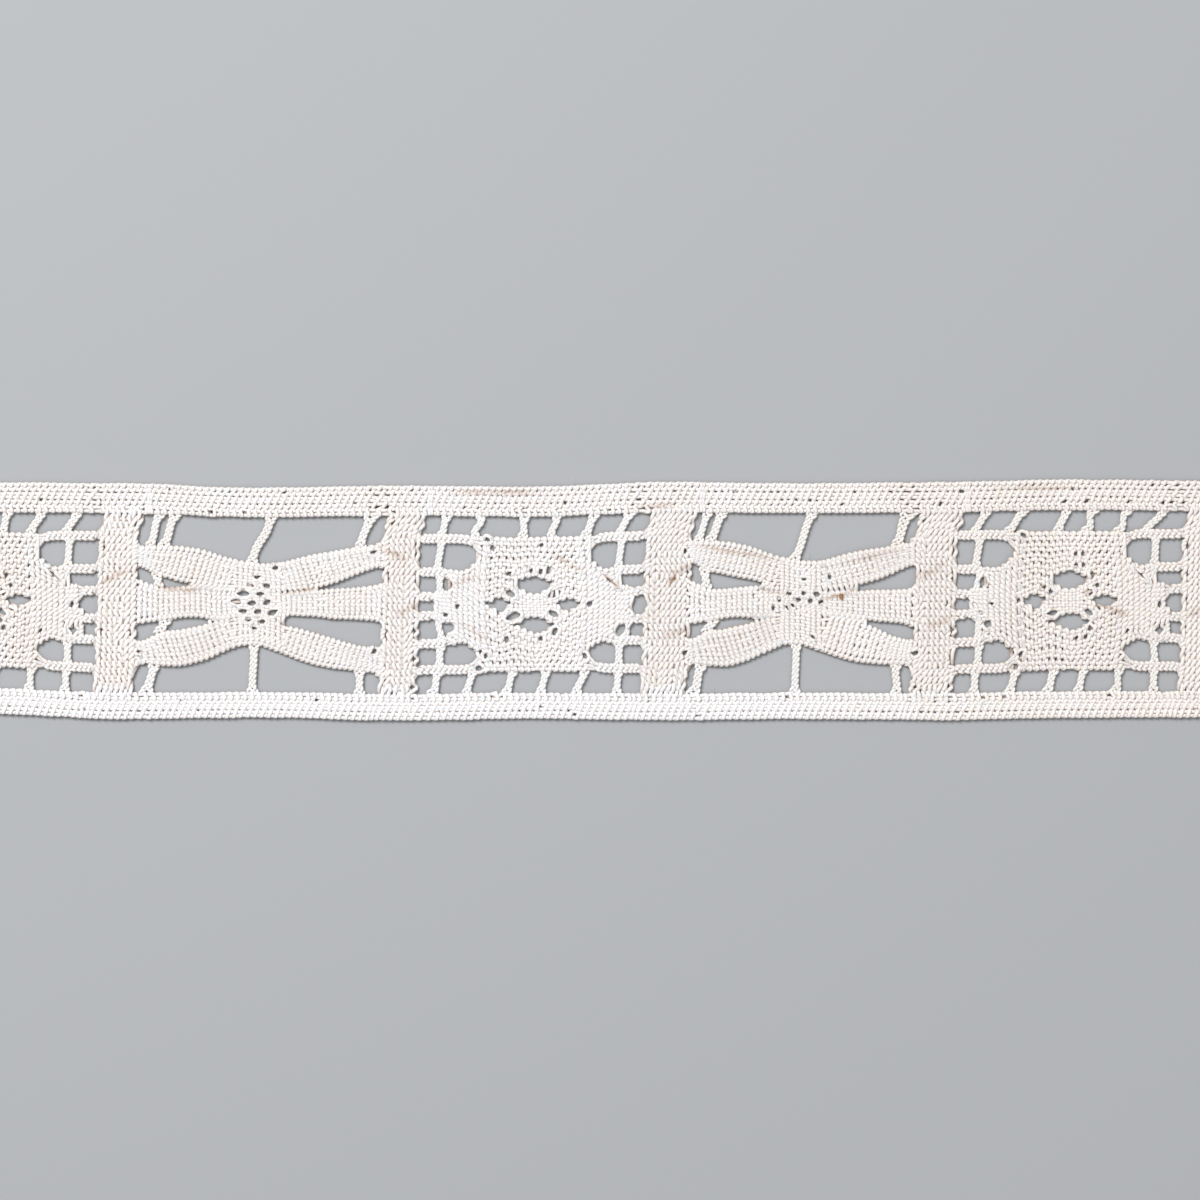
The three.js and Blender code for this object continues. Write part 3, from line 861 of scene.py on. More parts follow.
# %% Pins in the wreaths
# (x, y) of the pin from the panel's middle, its hole's width and height, and how it is turned
Pin = namedtuple("Pin", "x y wide tall turn")
WREATH_PINS = [
    # round the bridge
    Pin(-2.45, 0.95, 1.0, 0.5, -0.4), Pin(2.25, 0.95, 1.4, 0.6, 0.4), Pin(-2.2, -1.5, 1.6, 0.65, 0.3),
    Pin(2.15, -1.2, 1.1, 0.45, -0.5),
    # above and below it
    Pin(-2.6, 3.28, 0.8, 0.25, 0.8), Pin(-0.2, 3.55, 0.3, 0.4, 0.0), Pin(0.8, 3.45, 0.35, 0.55, -0.2),
    Pin(1.6, 3.5, 0.4, 0.7, -0.3), Pin(2.3, -3.1, 0.4, 0.8, -0.4), Pin(0.8, -4.0, 0.35, 0.4, 0.0),
    Pin(-2.9, -3.9, 0.35, 0.6, 0.5),
    # beside the posts
    Pin(-9.15, 2.0, 0.75, 0.9, 0.0), Pin(-9.0, -2.65, 0.9, 0.9, 0.4), Pin(-9.45, -1.3, 0.45, 0.3, 0.3),
    Pin(-8.2, -0.35, 0.35, 0.35, 0.0), Pin(9.35, -2.95, 1.1, 0.6, 0.7), Pin(6.0, -0.2, 0.6, 0.5, 0.3),
    Pin(8.3, 2.2, 2.0, 0.04, -0.73),
    # in its corners
    Pin(-5.9, -7.1, 0.5, 0.5, 0.0), Pin(-5.1, -5.75, 0.3, 0.6, -0.4), Pin(5.5, -5.75, 0.3, 0.45, 0.3),
    Pin(-4.9, 6.9, 0.6, 0.25, -0.7), Pin(-4.4, 5.8, 0.3, 0.5, 0.4), Pin(0.9, 6.3, 0.35, 0.35, 0.0),
]
OUTER_WREATH_PINS = [            # the first and the last wreath have their own
    Pin(-9.15, 2.0, 0.6, 0.8, 0.0), Pin(-8.7, -2.55, 0.65, 0.55, 0.0), Pin(-9.45, -1.4, 0.3, 0.3, 0.0),
    Pin(-8.2, -0.3, 0.3, 0.3, 0.0), Pin(-2.6, 1.15, 0.5, 0.3, -0.4), Pin(-1.9, 0.9, 0.6, 0.3, -0.5),
    Pin(2.25, 0.8, 0.8, 0.5, 0.5), Pin(-1.85, -1.4, 1.2, 0.45, 0.2), Pin(2.2, -1.35, 0.9, 0.4, -0.5),
    Pin(9.65, -3.2, 0.9, 0.35, 0.0), Pin(9.7, -0.5, 0.3, 0.7, 0.0), Pin(2.35, -2.9, 0.35, 0.6, -0.5),
    Pin(0.85, -4.0, 0.3, 0.3, 0.0), Pin(1.8, -3.95, 0.3, 0.3, 0.0), Pin(-5.15, -5.8, 0.25, 0.6, -0.5),
    Pin(-5.8, -7.15, 0.7, 0.5, 0.0), Pin(-4.9, 7.0, 0.5, 0.3, -0.6), Pin(7.7, 2.75, 2.2, 0.04, -0.75),
    Pin(0.75, 4.95, 0.35, 0.4, 0.0), Pin(1.5, 4.95, 0.35, 0.4, 0.0), Pin(0.75, 3.75, 0.35, 0.25, 0.0),
    Pin(1.6, 3.75, 0.35, 0.25, 0.0), Pin(2.5, 2.8, 0.3, 0.6, 0.5), Pin(3.1, 1.6, 0.3, 0.25, 0.0),
    Pin(3.2, -0.9, 0.3, 0.3, 0.0), Pin(4.75, 0.1, 0.3, 0.3, 0.0), Pin(6.3, -3.2, 0.3, 0.3, 0.0),
]
print(len(WREATH_PINS), "pins in the middle wreath, and", len(OUTER_WREATH_PINS), "in each other")

# %% Pins in the daisies and the footings
NETS = {                         # in each daisy: the net at its heart, and beside the bars
    1: [Pin(1.79, 3.42, 0.6, 0.35, 0), Pin(2.69, 2.68, 0.35, 0.2, 0),
        Pin(-0.04, 2.39, 0.85, 0.35, -0.1),
        Pin(-0.78, 1.55, 0.7, 0.25, 0), Pin(0.9, 1.5, 0.75, 0.4, -0.15),
        Pin(-1.65, 0.65, 1.3, 0.45, 0), Pin(0.17, 0.65, 0.8, 0.35, 0.1),
        Pin(-2.44, -0.21, 1.1, 0.4, -0.15), Pin(-0.69, -0.35, 0.85, 0.5, 0.2),
        Pin(0.93, -0.29, 0.8, 0.4, 0.6), Pin(-1.7, -1.21, 0.85, 0.35, 0),
        Pin(-0.09, -1.3, 0.7, 0.5, 0.2), Pin(1.57, -1.29, 1.15, 0.6, 0.5),
        Pin(-1.1, -2.13, 0.7, 0.2, 0), Pin(0.38, -2.32, 0.65, 0.4, 0.2),
        Pin(-0.44, -3.08, 0.5, 0.25, -0.3), Pin(12.3, 5.1, 0.6, 0.3, 0.3),
        Pin(12.3, -5.5, 0.7, 0.4, 0.4), Pin(-12.9, -5.6, 0.4, 0.3, 0)],
    3: [Pin(0.38, 2.21, 0.5, 0.22, 0.1), Pin(3.05, 2.48, 0.25, 0.4, 0),
        Pin(-1.25, 0.7, 0.5, 0.3, -0.4), Pin(0.29, 0.68, 0.42, 0.36, 0),
        Pin(1.69, 0.6, 0.65, 0.42, -0.3), Pin(-0.35, 0.0, 0.75, 0.38, 0),
        Pin(1.02, -0.14, 0.45, 0.4, 0), Pin(2.17, -0.31, 0.5, 0.4, 0),
        Pin(-2.36, 0.02, 0.5, 0.25, -0.8), Pin(-3.0, -0.85, 0.25, 0.4, 0),
        Pin(-1.39, -0.83, 0.5, 0.25, -0.7), Pin(-0.89, -0.6, 0.3, 0.4, 0.9),
        Pin(-2.36, -1.54, 0.4, 0.3, 0), Pin(1.3, -3.98, 0.5, 0.22, -0.7),
        Pin(-12.5, 5.3, 0.4, 0.4, 0), Pin(-12.5, -5.75, 0.35, 0.35, 0),
        Pin(12.2, -5.75, 0.8, 0.35, 0.2)],
}
FOOTING_PINS = [                 # (x, y) of the wider pinholes in the footings
    (-33.7, 9.95), (-30.1, 9.95), (-15.8, 10.35), (-14.9, 10.35), (-14.0, 9.9), (-1.1, 10.1),
    (-0.2, 10.1), (3.4, 10.1), (4.3, 10.9), (13.1, 9.9), (44.6, 10.4), (57.8, 10.3), (60.4, 10.4),
    (65.0, 10.4), (68.6, 10.2), (-52.0, 10.9), (-61.3, 10.3), (-68.1, 10.0), (22.4, 11.6),
    (-3.4, -10.2), (-2.4, -10.2), (1.6, -11.3), (28.2, -10.4), (35.9, -11.2), (41.5, -10.4),
    (42.6, -11.5), (44.1, -10.4), (45.6, -10.4), (63.0, -10.3), (-22.4, -10.5), (-47.5, -10.4),
    (-66.3, -11.2),
]
print(len(NETS[1]), "and", len(NETS[3]), "pins in the daisies,", len(FOOTING_PINS), "in the footings")

# %% Stand all the pins in the trim
LEAST_PIN, MOST_PIN = 0.16, 0.42             # how wide a footing's pinholes are
STRAY_PINS = 70                  # and this many narrow ones more, anywhere in its rows
STRAY_ROWS = [0.59, 1.06, 1.83, 2.30, 2.75]  # the rows' distances from the selvedge
pins = [Pin(x, y, *chance.uniform(0.75 * LEAST_PIN, MOST_PIN, 2), 0) for x, y in FOOTING_PINS]
for _ in range(STRAY_PINS):
    depth = chance.choice(STRAY_ROWS)
    x, side = chance.uniform(LEFT_END, RIGHT_END), chance.choice([1, -1])
    pins.append(Pin(x, side * (WIDTH / 2 - depth), *chance.uniform(LEAST_PIN / 2, LEAST_PIN, 2), 0))
footing_pins = len(pins)

# The middle wreath's pins are told on the even pattern, and all the others on the uneven trim.
for i in range(len(PANELS)):
    at = panel_middle(i)
    table = NETS.get(i) or (OUTER_WREATH_PINS if i in LONG_ENDED else WREATH_PINS)
    for pin in table:
        y = pin.y if table is WREATH_PINS else evened(pin.x + at, pin.y)
        pins.append(pin._replace(x=pin.x + at, y=y))
print(footing_pins, "pins stand in the footings, and", len(pins) - footing_pins, "between them")

# %% How a pin pushes a thread away
FINER_REACH = 2.0                # threads get more points within this distance of a pin
QUARTERS = np.array([0.25, 0.5, 0.75])[:, None]
PUSH_REACH = 3                   # a pin pushes threads up to this many times its hole's size away


def from_spot(points, x, y, turn, half_long, half_wide):
    """Places counted from the middle of a turned oval, along and across it. Its edge is at 1."""
    dx, dy = points[..., 0] - x, points[..., 1] - y
    c, s = np.cos(turn), np.sin(turn)
    return (dx * c + dy * s) / half_long, (dy * c - dx * s) / half_wide


def half_sizes(pin):
    """Half the size of what the middle of a thread must keep out of, so its edge clears the hole."""
    return (pin.wide + PRESSED[0]) / 2, (pin.tall + PRESSED[0]) / 2


def finer(points, pin):
    """More points where a thread would run through a pin's hole, so that it can bend round it."""
    near = np.flatnonzero(np.hypot(points[:-1, 0] - pin.x, points[:-1, 1] - pin.y) < FINER_REACH)
    if not len(near):
        return points
    steps = (points[near + 1] - points[near])[:, None]
    between = points[near][:, None] + steps * QUARTERS
    in_hole = np.hypot(*from_spot(between, pin.x, pin.y, pin.turn, *half_sizes(pin))) < 1
    through = in_hole.any(axis=1)
    after = np.repeat(near[through] + 1, len(QUARTERS))
    return np.insert(points, after, between[through].reshape(-1, 3), axis=0)


def pushed(points, pin, hard=False):
    """Threads near a pin, pushed away from it. The hard push only clears the hole itself."""
    half_long, half_wide = half_sizes(pin)
    furthest = PUSH_REACH * max(half_long, half_wide)
    near = np.hypot(points[:, 0] - pin.x, points[:, 1] - pin.y) < furthest
    if not near.any():
        return points
    c, s = np.cos(pin.turn), np.sin(pin.turn)
    u, v = from_spot(points, pin.x, pin.y, pin.turn, half_long, half_wide)
    far = np.hypot(u, v) + 1e-6              # never quite 0, so that it can divide
    wanted = np.maximum(far, 1) if hard else (far ** 3 + 1) ** (1 / 3)
    grown = np.where(near, wanted / far, 1.0)
    u, v = u * grown * half_long, v * grown * half_wide
    moved = points.copy()
    moved[:, 0] = pin.x + u * c - v * s
    moved[:, 1] = pin.y + u * s + v * c
    return moved


print("a pin's push is felt up to", PUSH_REACH, "times its hole's size away")

# %% Lean the bars and open the holes
# Each bar leans to the right, and most of all next to its top end.
BAR_LEAN = 0.03                  # this far sideways for each unit of height
LEAN_START, LEAN_END = 7.2, 9.4  # and between these heights, at the top and the bottom,
TOP_LEAN, BOTTOM_LEAN = 0.62, 0.15           # by this much more
LEAN_REACH, LEAN_FADE = 1.6, 1.3             # it reaches this far into a panel, and fades over this
END_FADE = 3                     # and so it does over this length next to the trim's ends


def leaning(x, y):
    """How far the bars' lean moves a place to the right. Within a panel it fades."""
    near = np.zeros_like(x)
    for bar_x, bar in zip(BAR_X, BARS):
        near += reached(bar.width / 2 + LEAN_REACH - abs(x - bar_x), LEAN_FADE)
    near *= reached(np.minimum(x - LEFT_END, RIGHT_END - x), END_FADE)
    top, bottom = (reached(y * side - LEAN_START, LEAN_END - LEAN_START) for side in (1, -1))
    lean = BAR_LEAN * np.clip(y, -LEAN_END, LEAN_END)
    return near * (lean + TOP_LEAN * top - BOTTOM_LEAN * bottom)


for made in threads.values():
    for n, points in enumerate(made):
        points[:, 0] += leaning(points[:, 0], points[:, 1])
        for pin in pins[footing_pins:]:
            points = finer(points, pin)
        for hard in (False, True):
            for pin in pins:
                points = pushed(points, pin, hard)
        points[:, 1] = placed(points[:, 0], points[:, 1])
        made[n] = points
print("the threads now bend round", len(pins), "small holes")

# %% [markdown]
# ## Fuzz
# Cotton yarn is spun from short fibres, and their ends stand out from the thread. They could be
# a hair system, but hair isn't part of the mesh, so it gets lost on export. A few hundred very
# thin three-sided tubes stay with the part. Each starts inside a weaver or a plait, at any
# place, and curls away from it.

# %% Stray fibres
FIBRES, FIBRE = 420, 0.022       # how many there are, and how thick
FIBRE_POINTS = 6
SHORTEST_FIBRE, LONGER = 0.2, 1.1            # a fibre is up to this much longer than the shortest
CURL = 1.3                       # and from start to end it turns by about this angle
LEAST_RISE, MOST_RISE = -0.12, 0.10          # it falls or rises by this from point to point
LOWEST, HIGHEST = 0.03, 0.60     # and stays between these heights


def stray_fibre(start, heading):
    """A fibre that starts at a place and curls as it leaves it."""
    length = chance.uniform(0.3, 1.0) ** 2 * LONGER + SHORTEST_FIBRE
    curl = chance.normal(0, CURL)
    turned = heading + curl * np.linspace(0, 1, FIBRE_POINTS)[:-1]
    step = length / (FIBRE_POINTS - 1)
    rise = chance.uniform(LEAST_RISE, MOST_RISE)
    points = np.tile(start, (FIBRE_POINTS, 1))
    points[1:, 0] += np.cumsum(np.cos(turned)) * step
    points[1:, 1] += np.cumsum(np.sin(turned)) * step
    points[:, 2] = np.clip(start[2] + rise * np.arange(FIBRE_POINTS), LOWEST, HIGHEST)
    return points


hairy = [points for name, made in threads.items() if name != "lengthwise_threads" for points in made]
sizes = np.array([len(points) for points in hairy], float)
threads["fuzz"] = []
for _ in range(FIBRES):
    points = hairy[chance.choice(len(hairy), p=sizes / sizes.sum())]
    start = points[chance.integers(len(points))]
    threads["fuzz"].append(stray_fibre(start, chance.uniform(0, 2 * math.pi)))
print(len(threads["fuzz"]), "stray fibres")

# %% [markdown]
# ## From paths to yarn
# Each path is now a list of points. A curve with a round bevel would turn it into yarn, but
# its end caps stay loose from its tube, and it forgets how far along the thread each point
# is. So the yarn is laid as a mesh, ring by ring: six points round each point of the path,
# or fewer where it hardly shows, faces between the rings, and one face that closes each end.
# Its UV map runs once round the yarn and along it in millimetres, because the twist in the material has
# to follow the yarn. Each corner also carries three numbers for the material: its thread's own tone,
# how browned the cotton is there or how much painted shade lies along a seam or slit, and how warm.

# %% Spin the yarn
STEEP = 0.35                     # where less than this share of a path's way is level, it is steep


def level_sides(way):
    """A direction square to the path at each of its points, level except where it is steep."""
    carried = np.array([-way[0, 1], way[0, 0], 0.0]) / np.hypot(*way[0, :2])
    found = [carried]
    for before, now in zip(way[:-1], way[1:]):
        # the least turn that takes the old way to the new one (1.001 never lets it divide by 0)
        carried = carried - (carried @ now) / (1.001 + before @ now) * (before + now)
        flat = np.hypot(now[0], now[1])
        if flat > STEEP:
            level = np.array([-now[1], now[0], 0.0]) / flat
            carried = level if level @ carried > 0 else -level
        found.append(carried)
    found = np.array(found)
    return found / np.linalg.norm(found, axis=1, keepdims=True)


def rings(points, sides, section):
    """A ring of points round each point of a path, square to the way the path runs there."""
    turn = 2 * np.pi * np.arange(sides)[None, :, None] / sides
    way = np.gradient(points, axis=0)
    way /= np.linalg.norm(way, axis=1, keepdims=True)
    side = level_sides(way)
    up = np.cross(way, side)
    wide, tall = section
    out = side[:, None] * np.cos(turn) * wide + up[:, None] * np.sin(turn) * tall
    return points[:, None] + out / 2


def tube(points, sides, section, first):
    """Corners, faces and UVs of one thread. Its corners are numbered from first."""
    count = len(points)
    length = np.insert(np.cumsum(np.linalg.norm(np.diff(points, axis=0), axis=1)), 0, 0)
    ring, side = np.meshgrid(np.arange(count - 1), np.arange(sides), indexing="ij")
    near, far, after = ring * sides, (ring + 1) * sides, (side + 1) % sides
    quads = first + np.stack([near + side, near + after, far + after, far + side], -1).reshape(-1, 4)
    u = np.stack([side, side + 1, side + 1, side], -1) / sides
    v = np.stack([length[ring], length[ring], length[ring + 1], length[ring + 1]], -1)
    start, end = first, first + (count - 1) * sides
    caps = [list(range(start + sides - 1, start - 1, -1)), list(range(end, end + sides))]
    cap_u = np.arange(sides) / sides
    cap_uv = [np.column_stack([cap_u[::-1], np.zeros(sides)]),
              np.column_stack([cap_u, np.full(sides, length[-1])])]
    quad_uv = np.stack([u, v], -1).reshape(-1, 2)
    corners = rings(points, sides, section).reshape(-1, 3)
    return corners, quads.tolist() + caps, np.vstack([quad_uv, *cap_uv])


print(sum(len(made) for made in threads.values()), "threads to spin")

# %% Where the cotton is browned or painted with seam shade, and where it is warm
# Old cotton is a little browned in places, and the long thin patches along the seams between petals and
# along a wreath's slit are painted shade: (x, y, length, width, turn, strength) of each patch.
STAIN_AND_SEAM_SHADE_PATCHES = [
    (15.8, 2.1, 0.9, 0.5, 0.7, 1.6), (33.98, 0.27, 0.5, 0.5, 0.0, 2.5),
    (-3.2, 11.6, 9.5, 0.5, 0.0, 0.6), (54.8, 12.0, 7.5, 0.5, 0.0, 0.5),
    (14.2, 10.1, 4.0, 0.5, 0.1, 0.6), (-24.0, 1.0, 3.6, 0.3, 0.15, 0.9),
    (33.6, 0.5, 3.4, 0.25, 0.28, 1.0), (-37.3, 1.2, 4.2, 0.5, -0.1, 0.7),
    (9.3, 2.0, 3.0, 0.3, -0.73, 0.9), (22.8, 5.1, 9.0, 0.5, -0.17, 0.5),
    (38.0, 4.9, 5.0, 0.5, 0.25, 0.5), (17.0, 3.4, 3.0, 0.5, 0.5, 0.6),
    (-14.2, 5.0, 3.6, 0.6, -0.5, 0.5), (-12.6, -1.0, 3.0, 0.6, 0.5, 0.5),
    (16.2, -3.5, 3.4, 0.6, 0.3, 0.5), (43.4, 3.0, 3.4, 0.6, 0.5, 0.5),
    (44.6, -2.4, 3.0, 0.6, 0.4, 0.5), (-44.0, 2.5, 3.4, 0.6, 0.5, 0.5),
    (-72.5, 3.0, 3.4, 0.6, 0.5, 0.5), (72.5, -1.0, 3.4, 0.6, 0.5, 0.5),
    (63.4, -1.1, 2.6, 0.5, -0.4, 0.8), (4.6, 4.0, 4.0, 0.5, -0.5, 0.5),
    (-6.8, 2.0, 4.0, 0.6, 0.3, 0.4), (-5.5, -3.3, 4.0, 0.6, -0.5, 0.4),
    (26.5, 1.0, 3.2, 0.5, -0.2, 0.5),
]


def stained_or_seam_shaded(points):
    """How much the cotton is browned, or painted with seam shade, at each place. 1 is brown, and 2 has
    no clean crowns.
    """
    amount = np.zeros(len(points))
    for x, y, length, width, turn, strength in STAIN_AND_SEAM_SHADE_PATCHES:
        u, v = from_spot(points, x, y, turn, length / 2, width / 2)
        amount += strength * np.exp(-u ** 4 - v ** 2)
    return np.clip(amount, 0, 2)


# How warm the cotton is at the least, and how much warmer in these places. A place reaches so
# far beyond a bar, or begins so far from a bar's middle, or at this x, and fades over a length.
LEAST_WARM = 0.25
BAR_WARM, BAR_REACH, BAR_FADE = 0.55, 1.0, 1.5
DAISY_WARM, DAISY_INSET, DAISY_FADE = 0.45, 2.5, 2
LEFT_WARM, LEFT_X, LEFT_FADE = 0.5, -38, 15
RIGHT_WARM, RIGHT_X, RIGHT_FADE = 1.3, 25, 45
TOP_WARM, FOOTING_Y, FOOTING_FADE = 0.45, 9.6, 0.8           # the top footing has its own


def warmed(points):
    """The cotton is warmer in the bars, the petals and the ends, and cleanest at the bottom edge."""
    x, y = points[:, 0], points[:, 1]
    amount = np.full(len(points), LEAST_WARM)
    for bar_x, bar in zip(BAR_X, BARS):
        amount += BAR_WARM * reached(bar.width / 2 + BAR_REACH - abs(x - bar_x), BAR_FADE)
    for i, panel in enumerate(PANELS):
        if isinstance(panel, Daisy):
            from_bar = BARS[i].pitch / 2 - DAISY_INSET - abs(x - panel_middle(i))
            amount += DAISY_WARM * reached(from_bar, DAISY_FADE)
    inside = reached(FOOTING_Y - abs(y), FOOTING_FADE)
    amount += LEFT_WARM * reached(LEFT_X - x, LEFT_FADE)
    amount = amount * inside + np.where(y > 0, TOP_WARM, 0.0) * (1 - inside)
    return amount + RIGHT_WARM * reached(x - RIGHT_X, RIGHT_FADE)


print(len(STAIN_AND_SEAM_SHADE_PATCHES), "browned patches")


# %% Lay every thread as yarn
def yarn(name, made, sides, section):
    """One mesh of all these threads, whose points are in millimetres."""
    corners, faces, uvs, shades = [], [], [], []
    first = 0
    for points in made:
        ring_points, thread_faces, thread_uvs = tube(points, sides, section, first)
        corners.append(ring_points)
        faces += thread_faces
        uvs.append(thread_uvs)
        shades.append(np.full(len(ring_points), chance.uniform()))
        first += len(ring_points)
    corners = np.concatenate(corners)
    mesh = bpy.data.meshes.new(name)
    mesh.from_pydata(corners * MM, [], faces)
    mesh.uv_layers.new(name="yarn").data.foreach_set("uv", np.concatenate(uvs).ravel())
    surface = {"shade": np.concatenate(shades), "stain_and_seam_shade": stained_or_seam_shaded(corners), "warmth": warmed(corners)}
    for key, values in surface.items():
        mesh.attributes.new(key, "FLOAT", "POINT").data.foreach_set("value", values)
    mesh.shade_smooth()
    piece = bpy.data.objects.new(name, mesh)
    bpy.context.scene.collection.objects.link(piece)
    return piece


pieces = {}
total, metres = 0, 0
SIDES = {"lengthwise_threads": 5, "fuzz": 3}                 # all the others have six
SECTIONS = {"plaits": ROUND, "fuzz": (FIBRE, FIBRE)}         # and are pressed flat
for name, made in threads.items():
    pieces[name] = yarn(name, made, SIDES.get(name, 6), SECTIONS.get(name, PRESSED))
    triangles = sum(len(face.vertices) - 2 for face in pieces[name].data.polygons)
    if name != "fuzz":
        metres += sum(np.linalg.norm(np.diff(points, axis=0), axis=1).sum() for points in made) * MM
    total += triangles
    print(f"{name}: {triangles} triangles")
print(f"{total} triangles in all, {metres:.2f} m of yarn")

# %% [markdown]
# ## Cotton
# Cotton yarn is two plies twisted together, matt and a little hairy. The shade down between the threads
# is painted into the colour. It follows the height of the surface: clean on the crowns, and a painted
# tan shade in the grooves. The twist is two stripes that wind round the yarn on its own UV map, as a
# bump, with a little painted shade between the plies. Every thread has its own tone, and slow noise
# makes one part of the trim a little warmer than the next.
# The group below holds all that varies over the surface. Sheen and the glow under the skin
# are the same everywhere, so they are set on each material's own shader.

# %% The yarn's shader group
TWIST_PITCH = 0.8                # length of yarn, in mm, in which a ply winds round once
GROOVE_Z, CROWN_Z = 0.20, 0.48   # height in mm where the colour is all painted groove shade, and all clean crown
WHITE = (1.0, 1.0, 1.0, 1)
WARM_TINT = (0.95, 0.914, 0.872, 1)          # what white turns to where the cotton is warm
DARKER_GROOVE_SHADE = (0.34, 0.23, 0.165, 1)        # a darker painted groove shade, laid on in patches
# each noise's scale and detail: slow changes, patches of darker painted groove shade, along a thread,
# and its fibres
SLOW, PATCHES, FINE, FIBROUS = (130.0, 3.0), (520.0, 1.0), (1500.0, 2.0), (16000.0, 2.0)
SOCKETS = {
    "INPUT": {"Crown": "Color", "Groove shade": "Color", "Stain and seam shade": "Color", "Groove shading": "Float"},
    "OUTPUT": {"Colour": "Color", "Roughness": "Float", "Height": "Float"},
}


def yarn_group():
    """The node group that turns a place on the yarn into colour, roughness and relief."""
    group = bpy.data.node_groups.new("Cotton yarn", "ShaderNodeTree")
    for way, sockets in SOCKETS.items():
        for name, kind in sockets.items():
            group.interface.new_socket(name, in_out=way, socket_type="NodeSocket" + kind)
    nodes, links = group.nodes, group.links
    given, out = nodes.new("NodeGroupInput"), nodes.new("NodeGroupOutput")

    def node(kind, inputs=None, **settings):
        """A new node. Its inputs are values, or sockets that it is linked to."""
        made = nodes.new(kind)
        for key, value in settings.items():
            setattr(made, key, value)
        for key, value in (inputs or {}).items():
            if isinstance(value, bpy.types.NodeSocket):
                links.new(value, made.inputs[key])
            else:
                made.inputs[key].default_value = value
        return made

    def mapped(value, low, high, to_low, to_high):
        """A value between low and high, spread between to_low and to_high."""
        inputs = {"Value": value, "From Min": low, "From Max": high,
                  "To Min": to_low, "To Max": to_high}
        return node("ShaderNodeMapRange", inputs, clamp=True).outputs["Result"]

    def computed(operation, a, b=0.0):
        return node("ShaderNodeMath", {0: a, 1: b}, operation=operation).outputs[0]

    def product(first, *others):
        for other in others:
            first = computed("MULTIPLY", first, other)
        return first

    def mixed(amount, a, b, way="MIX"):
        settings = {"data_type": "RGBA", "blend_type": way}
        return node("ShaderNodeMix", {0: amount, 6: a, 7: b}, **settings).outputs[2]

    def noise(scale, detail):
        inputs = {"Vector": place, "Scale": scale, "Detail": detail}
        return node("ShaderNodeTexNoise", inputs).outputs["Fac"]

    def attribute(name):
        """What the mesh says of each of its corners under this name."""
        return node("ShaderNodeAttribute", attribute_name=name).outputs["Fac"]

    place = node("ShaderNodeTexCoord").outputs["Object"]
    height = node("ShaderNodeSeparateXYZ", {0: place}).outputs["Z"]
    slow, patch, fine, hair = (noise(*kind) for kind in (SLOW, PATCHES, FINE, FIBROUS))
    warmth = attribute("warmth")

    # the two plies, as stripes that wind round the yarn
    uv = node("ShaderNodeSeparateXYZ", {0: node("ShaderNodeUVMap", uv_map="yarn").outputs[0]})
    turns = computed("ADD", uv.outputs["X"], computed("DIVIDE", uv.outputs["Y"], TWIST_PITCH))
    ply = computed("ABSOLUTE", computed("SINE", product(turns, 2 * math.pi)))

    # painted shade, from the clean crowns down into the grooves, darker in patches where the cotton is
    # warm
    groove_shade_mask = product(mapped(height, GROOVE_Z * MM, CROWN_Z * MM, 1.0, 0.0),
                   mapped(fine, 0.3, 0.7, 0.5, 1.3), mapped(warmth, 0.0, 1.2, 0.85, 1.2),
                   given.outputs["Groove shading"])
    darker_shade_patches = product(warmth, mapped(patch, 0.47, 0.65, 0.0, 1.0))
    groove_shade_colour = mixed(darker_shade_patches, given.outputs["Groove shade"], DARKER_GROOVE_SHADE)
    colour = mixed(groove_shade_mask, given.outputs["Crown"], groove_shade_colour)

    # the browned places and the painted shade along seams and slits, and then the warm tint over all
    browned_or_seam_shaded = product(attribute("stain_and_seam_shade"), mapped(fine, 0.35, 0.65, 0.4, 1.0))
    colour = mixed(browned_or_seam_shaded, colour, given.outputs["Stain and seam shade"])
    warm = product(warmth, mapped(slow, 0.35, 0.65, 0.6, 1.4))
    colour = mixed(1.0, colour, mixed(warm, WHITE, WARM_TINT), "MULTIPLY")

    # each thread's own tone, with a little painted shade between its plies
    tone = product(mapped(attribute("shade"), 0.0, 1.0, 0.95, 1.0),
                   mapped(ply, 0.0, 0.6, 0.97, 1.0))
    grey = node("ShaderNodeCombineColor", {0: tone, 1: tone, 2: tone}).outputs[0]
    links.new(mixed(1.0, colour, grey, "MULTIPLY"), out.inputs["Colour"])
    links.new(mapped(hair, 0.3, 0.7, 0.78, 0.95), out.inputs["Roughness"])
    links.new(computed("ADD", ply, product(hair, 0.6)), out.inputs["Height"])
    return group


yarn_shader = yarn_group()
print("the shared group has", len(yarn_shader.nodes), "nodes")


# %% Cotton materials
# the painted shade in the grooves, and the brown of the stains and of the painted shade along seams and
# slits
GROOVE_SHADE, STAIN_AND_SEAM_SHADE = (0.41, 0.315, 0.255, 1), (0.38, 0.22, 0.12, 1)
TWIST_RELIEF = 0.03 * MM         # how deep the grooves between the plies are
SOFT_COTTON = {                  # a dull sheen, and a little light that glows through
    "Specular IOR Level": 0.25, "Sheen Weight": 0.25, "Sheen Roughness": 0.6,
    "Subsurface Weight": 0.35, "Subsurface Radius": (1.0, 0.75, 0.55),
    "Subsurface Scale": 0.25 * MM,
}


def fill_in(node, values):
    """Gives a node's inputs their values by name."""
    for key, value in values.items():
        node.inputs[key].default_value = value


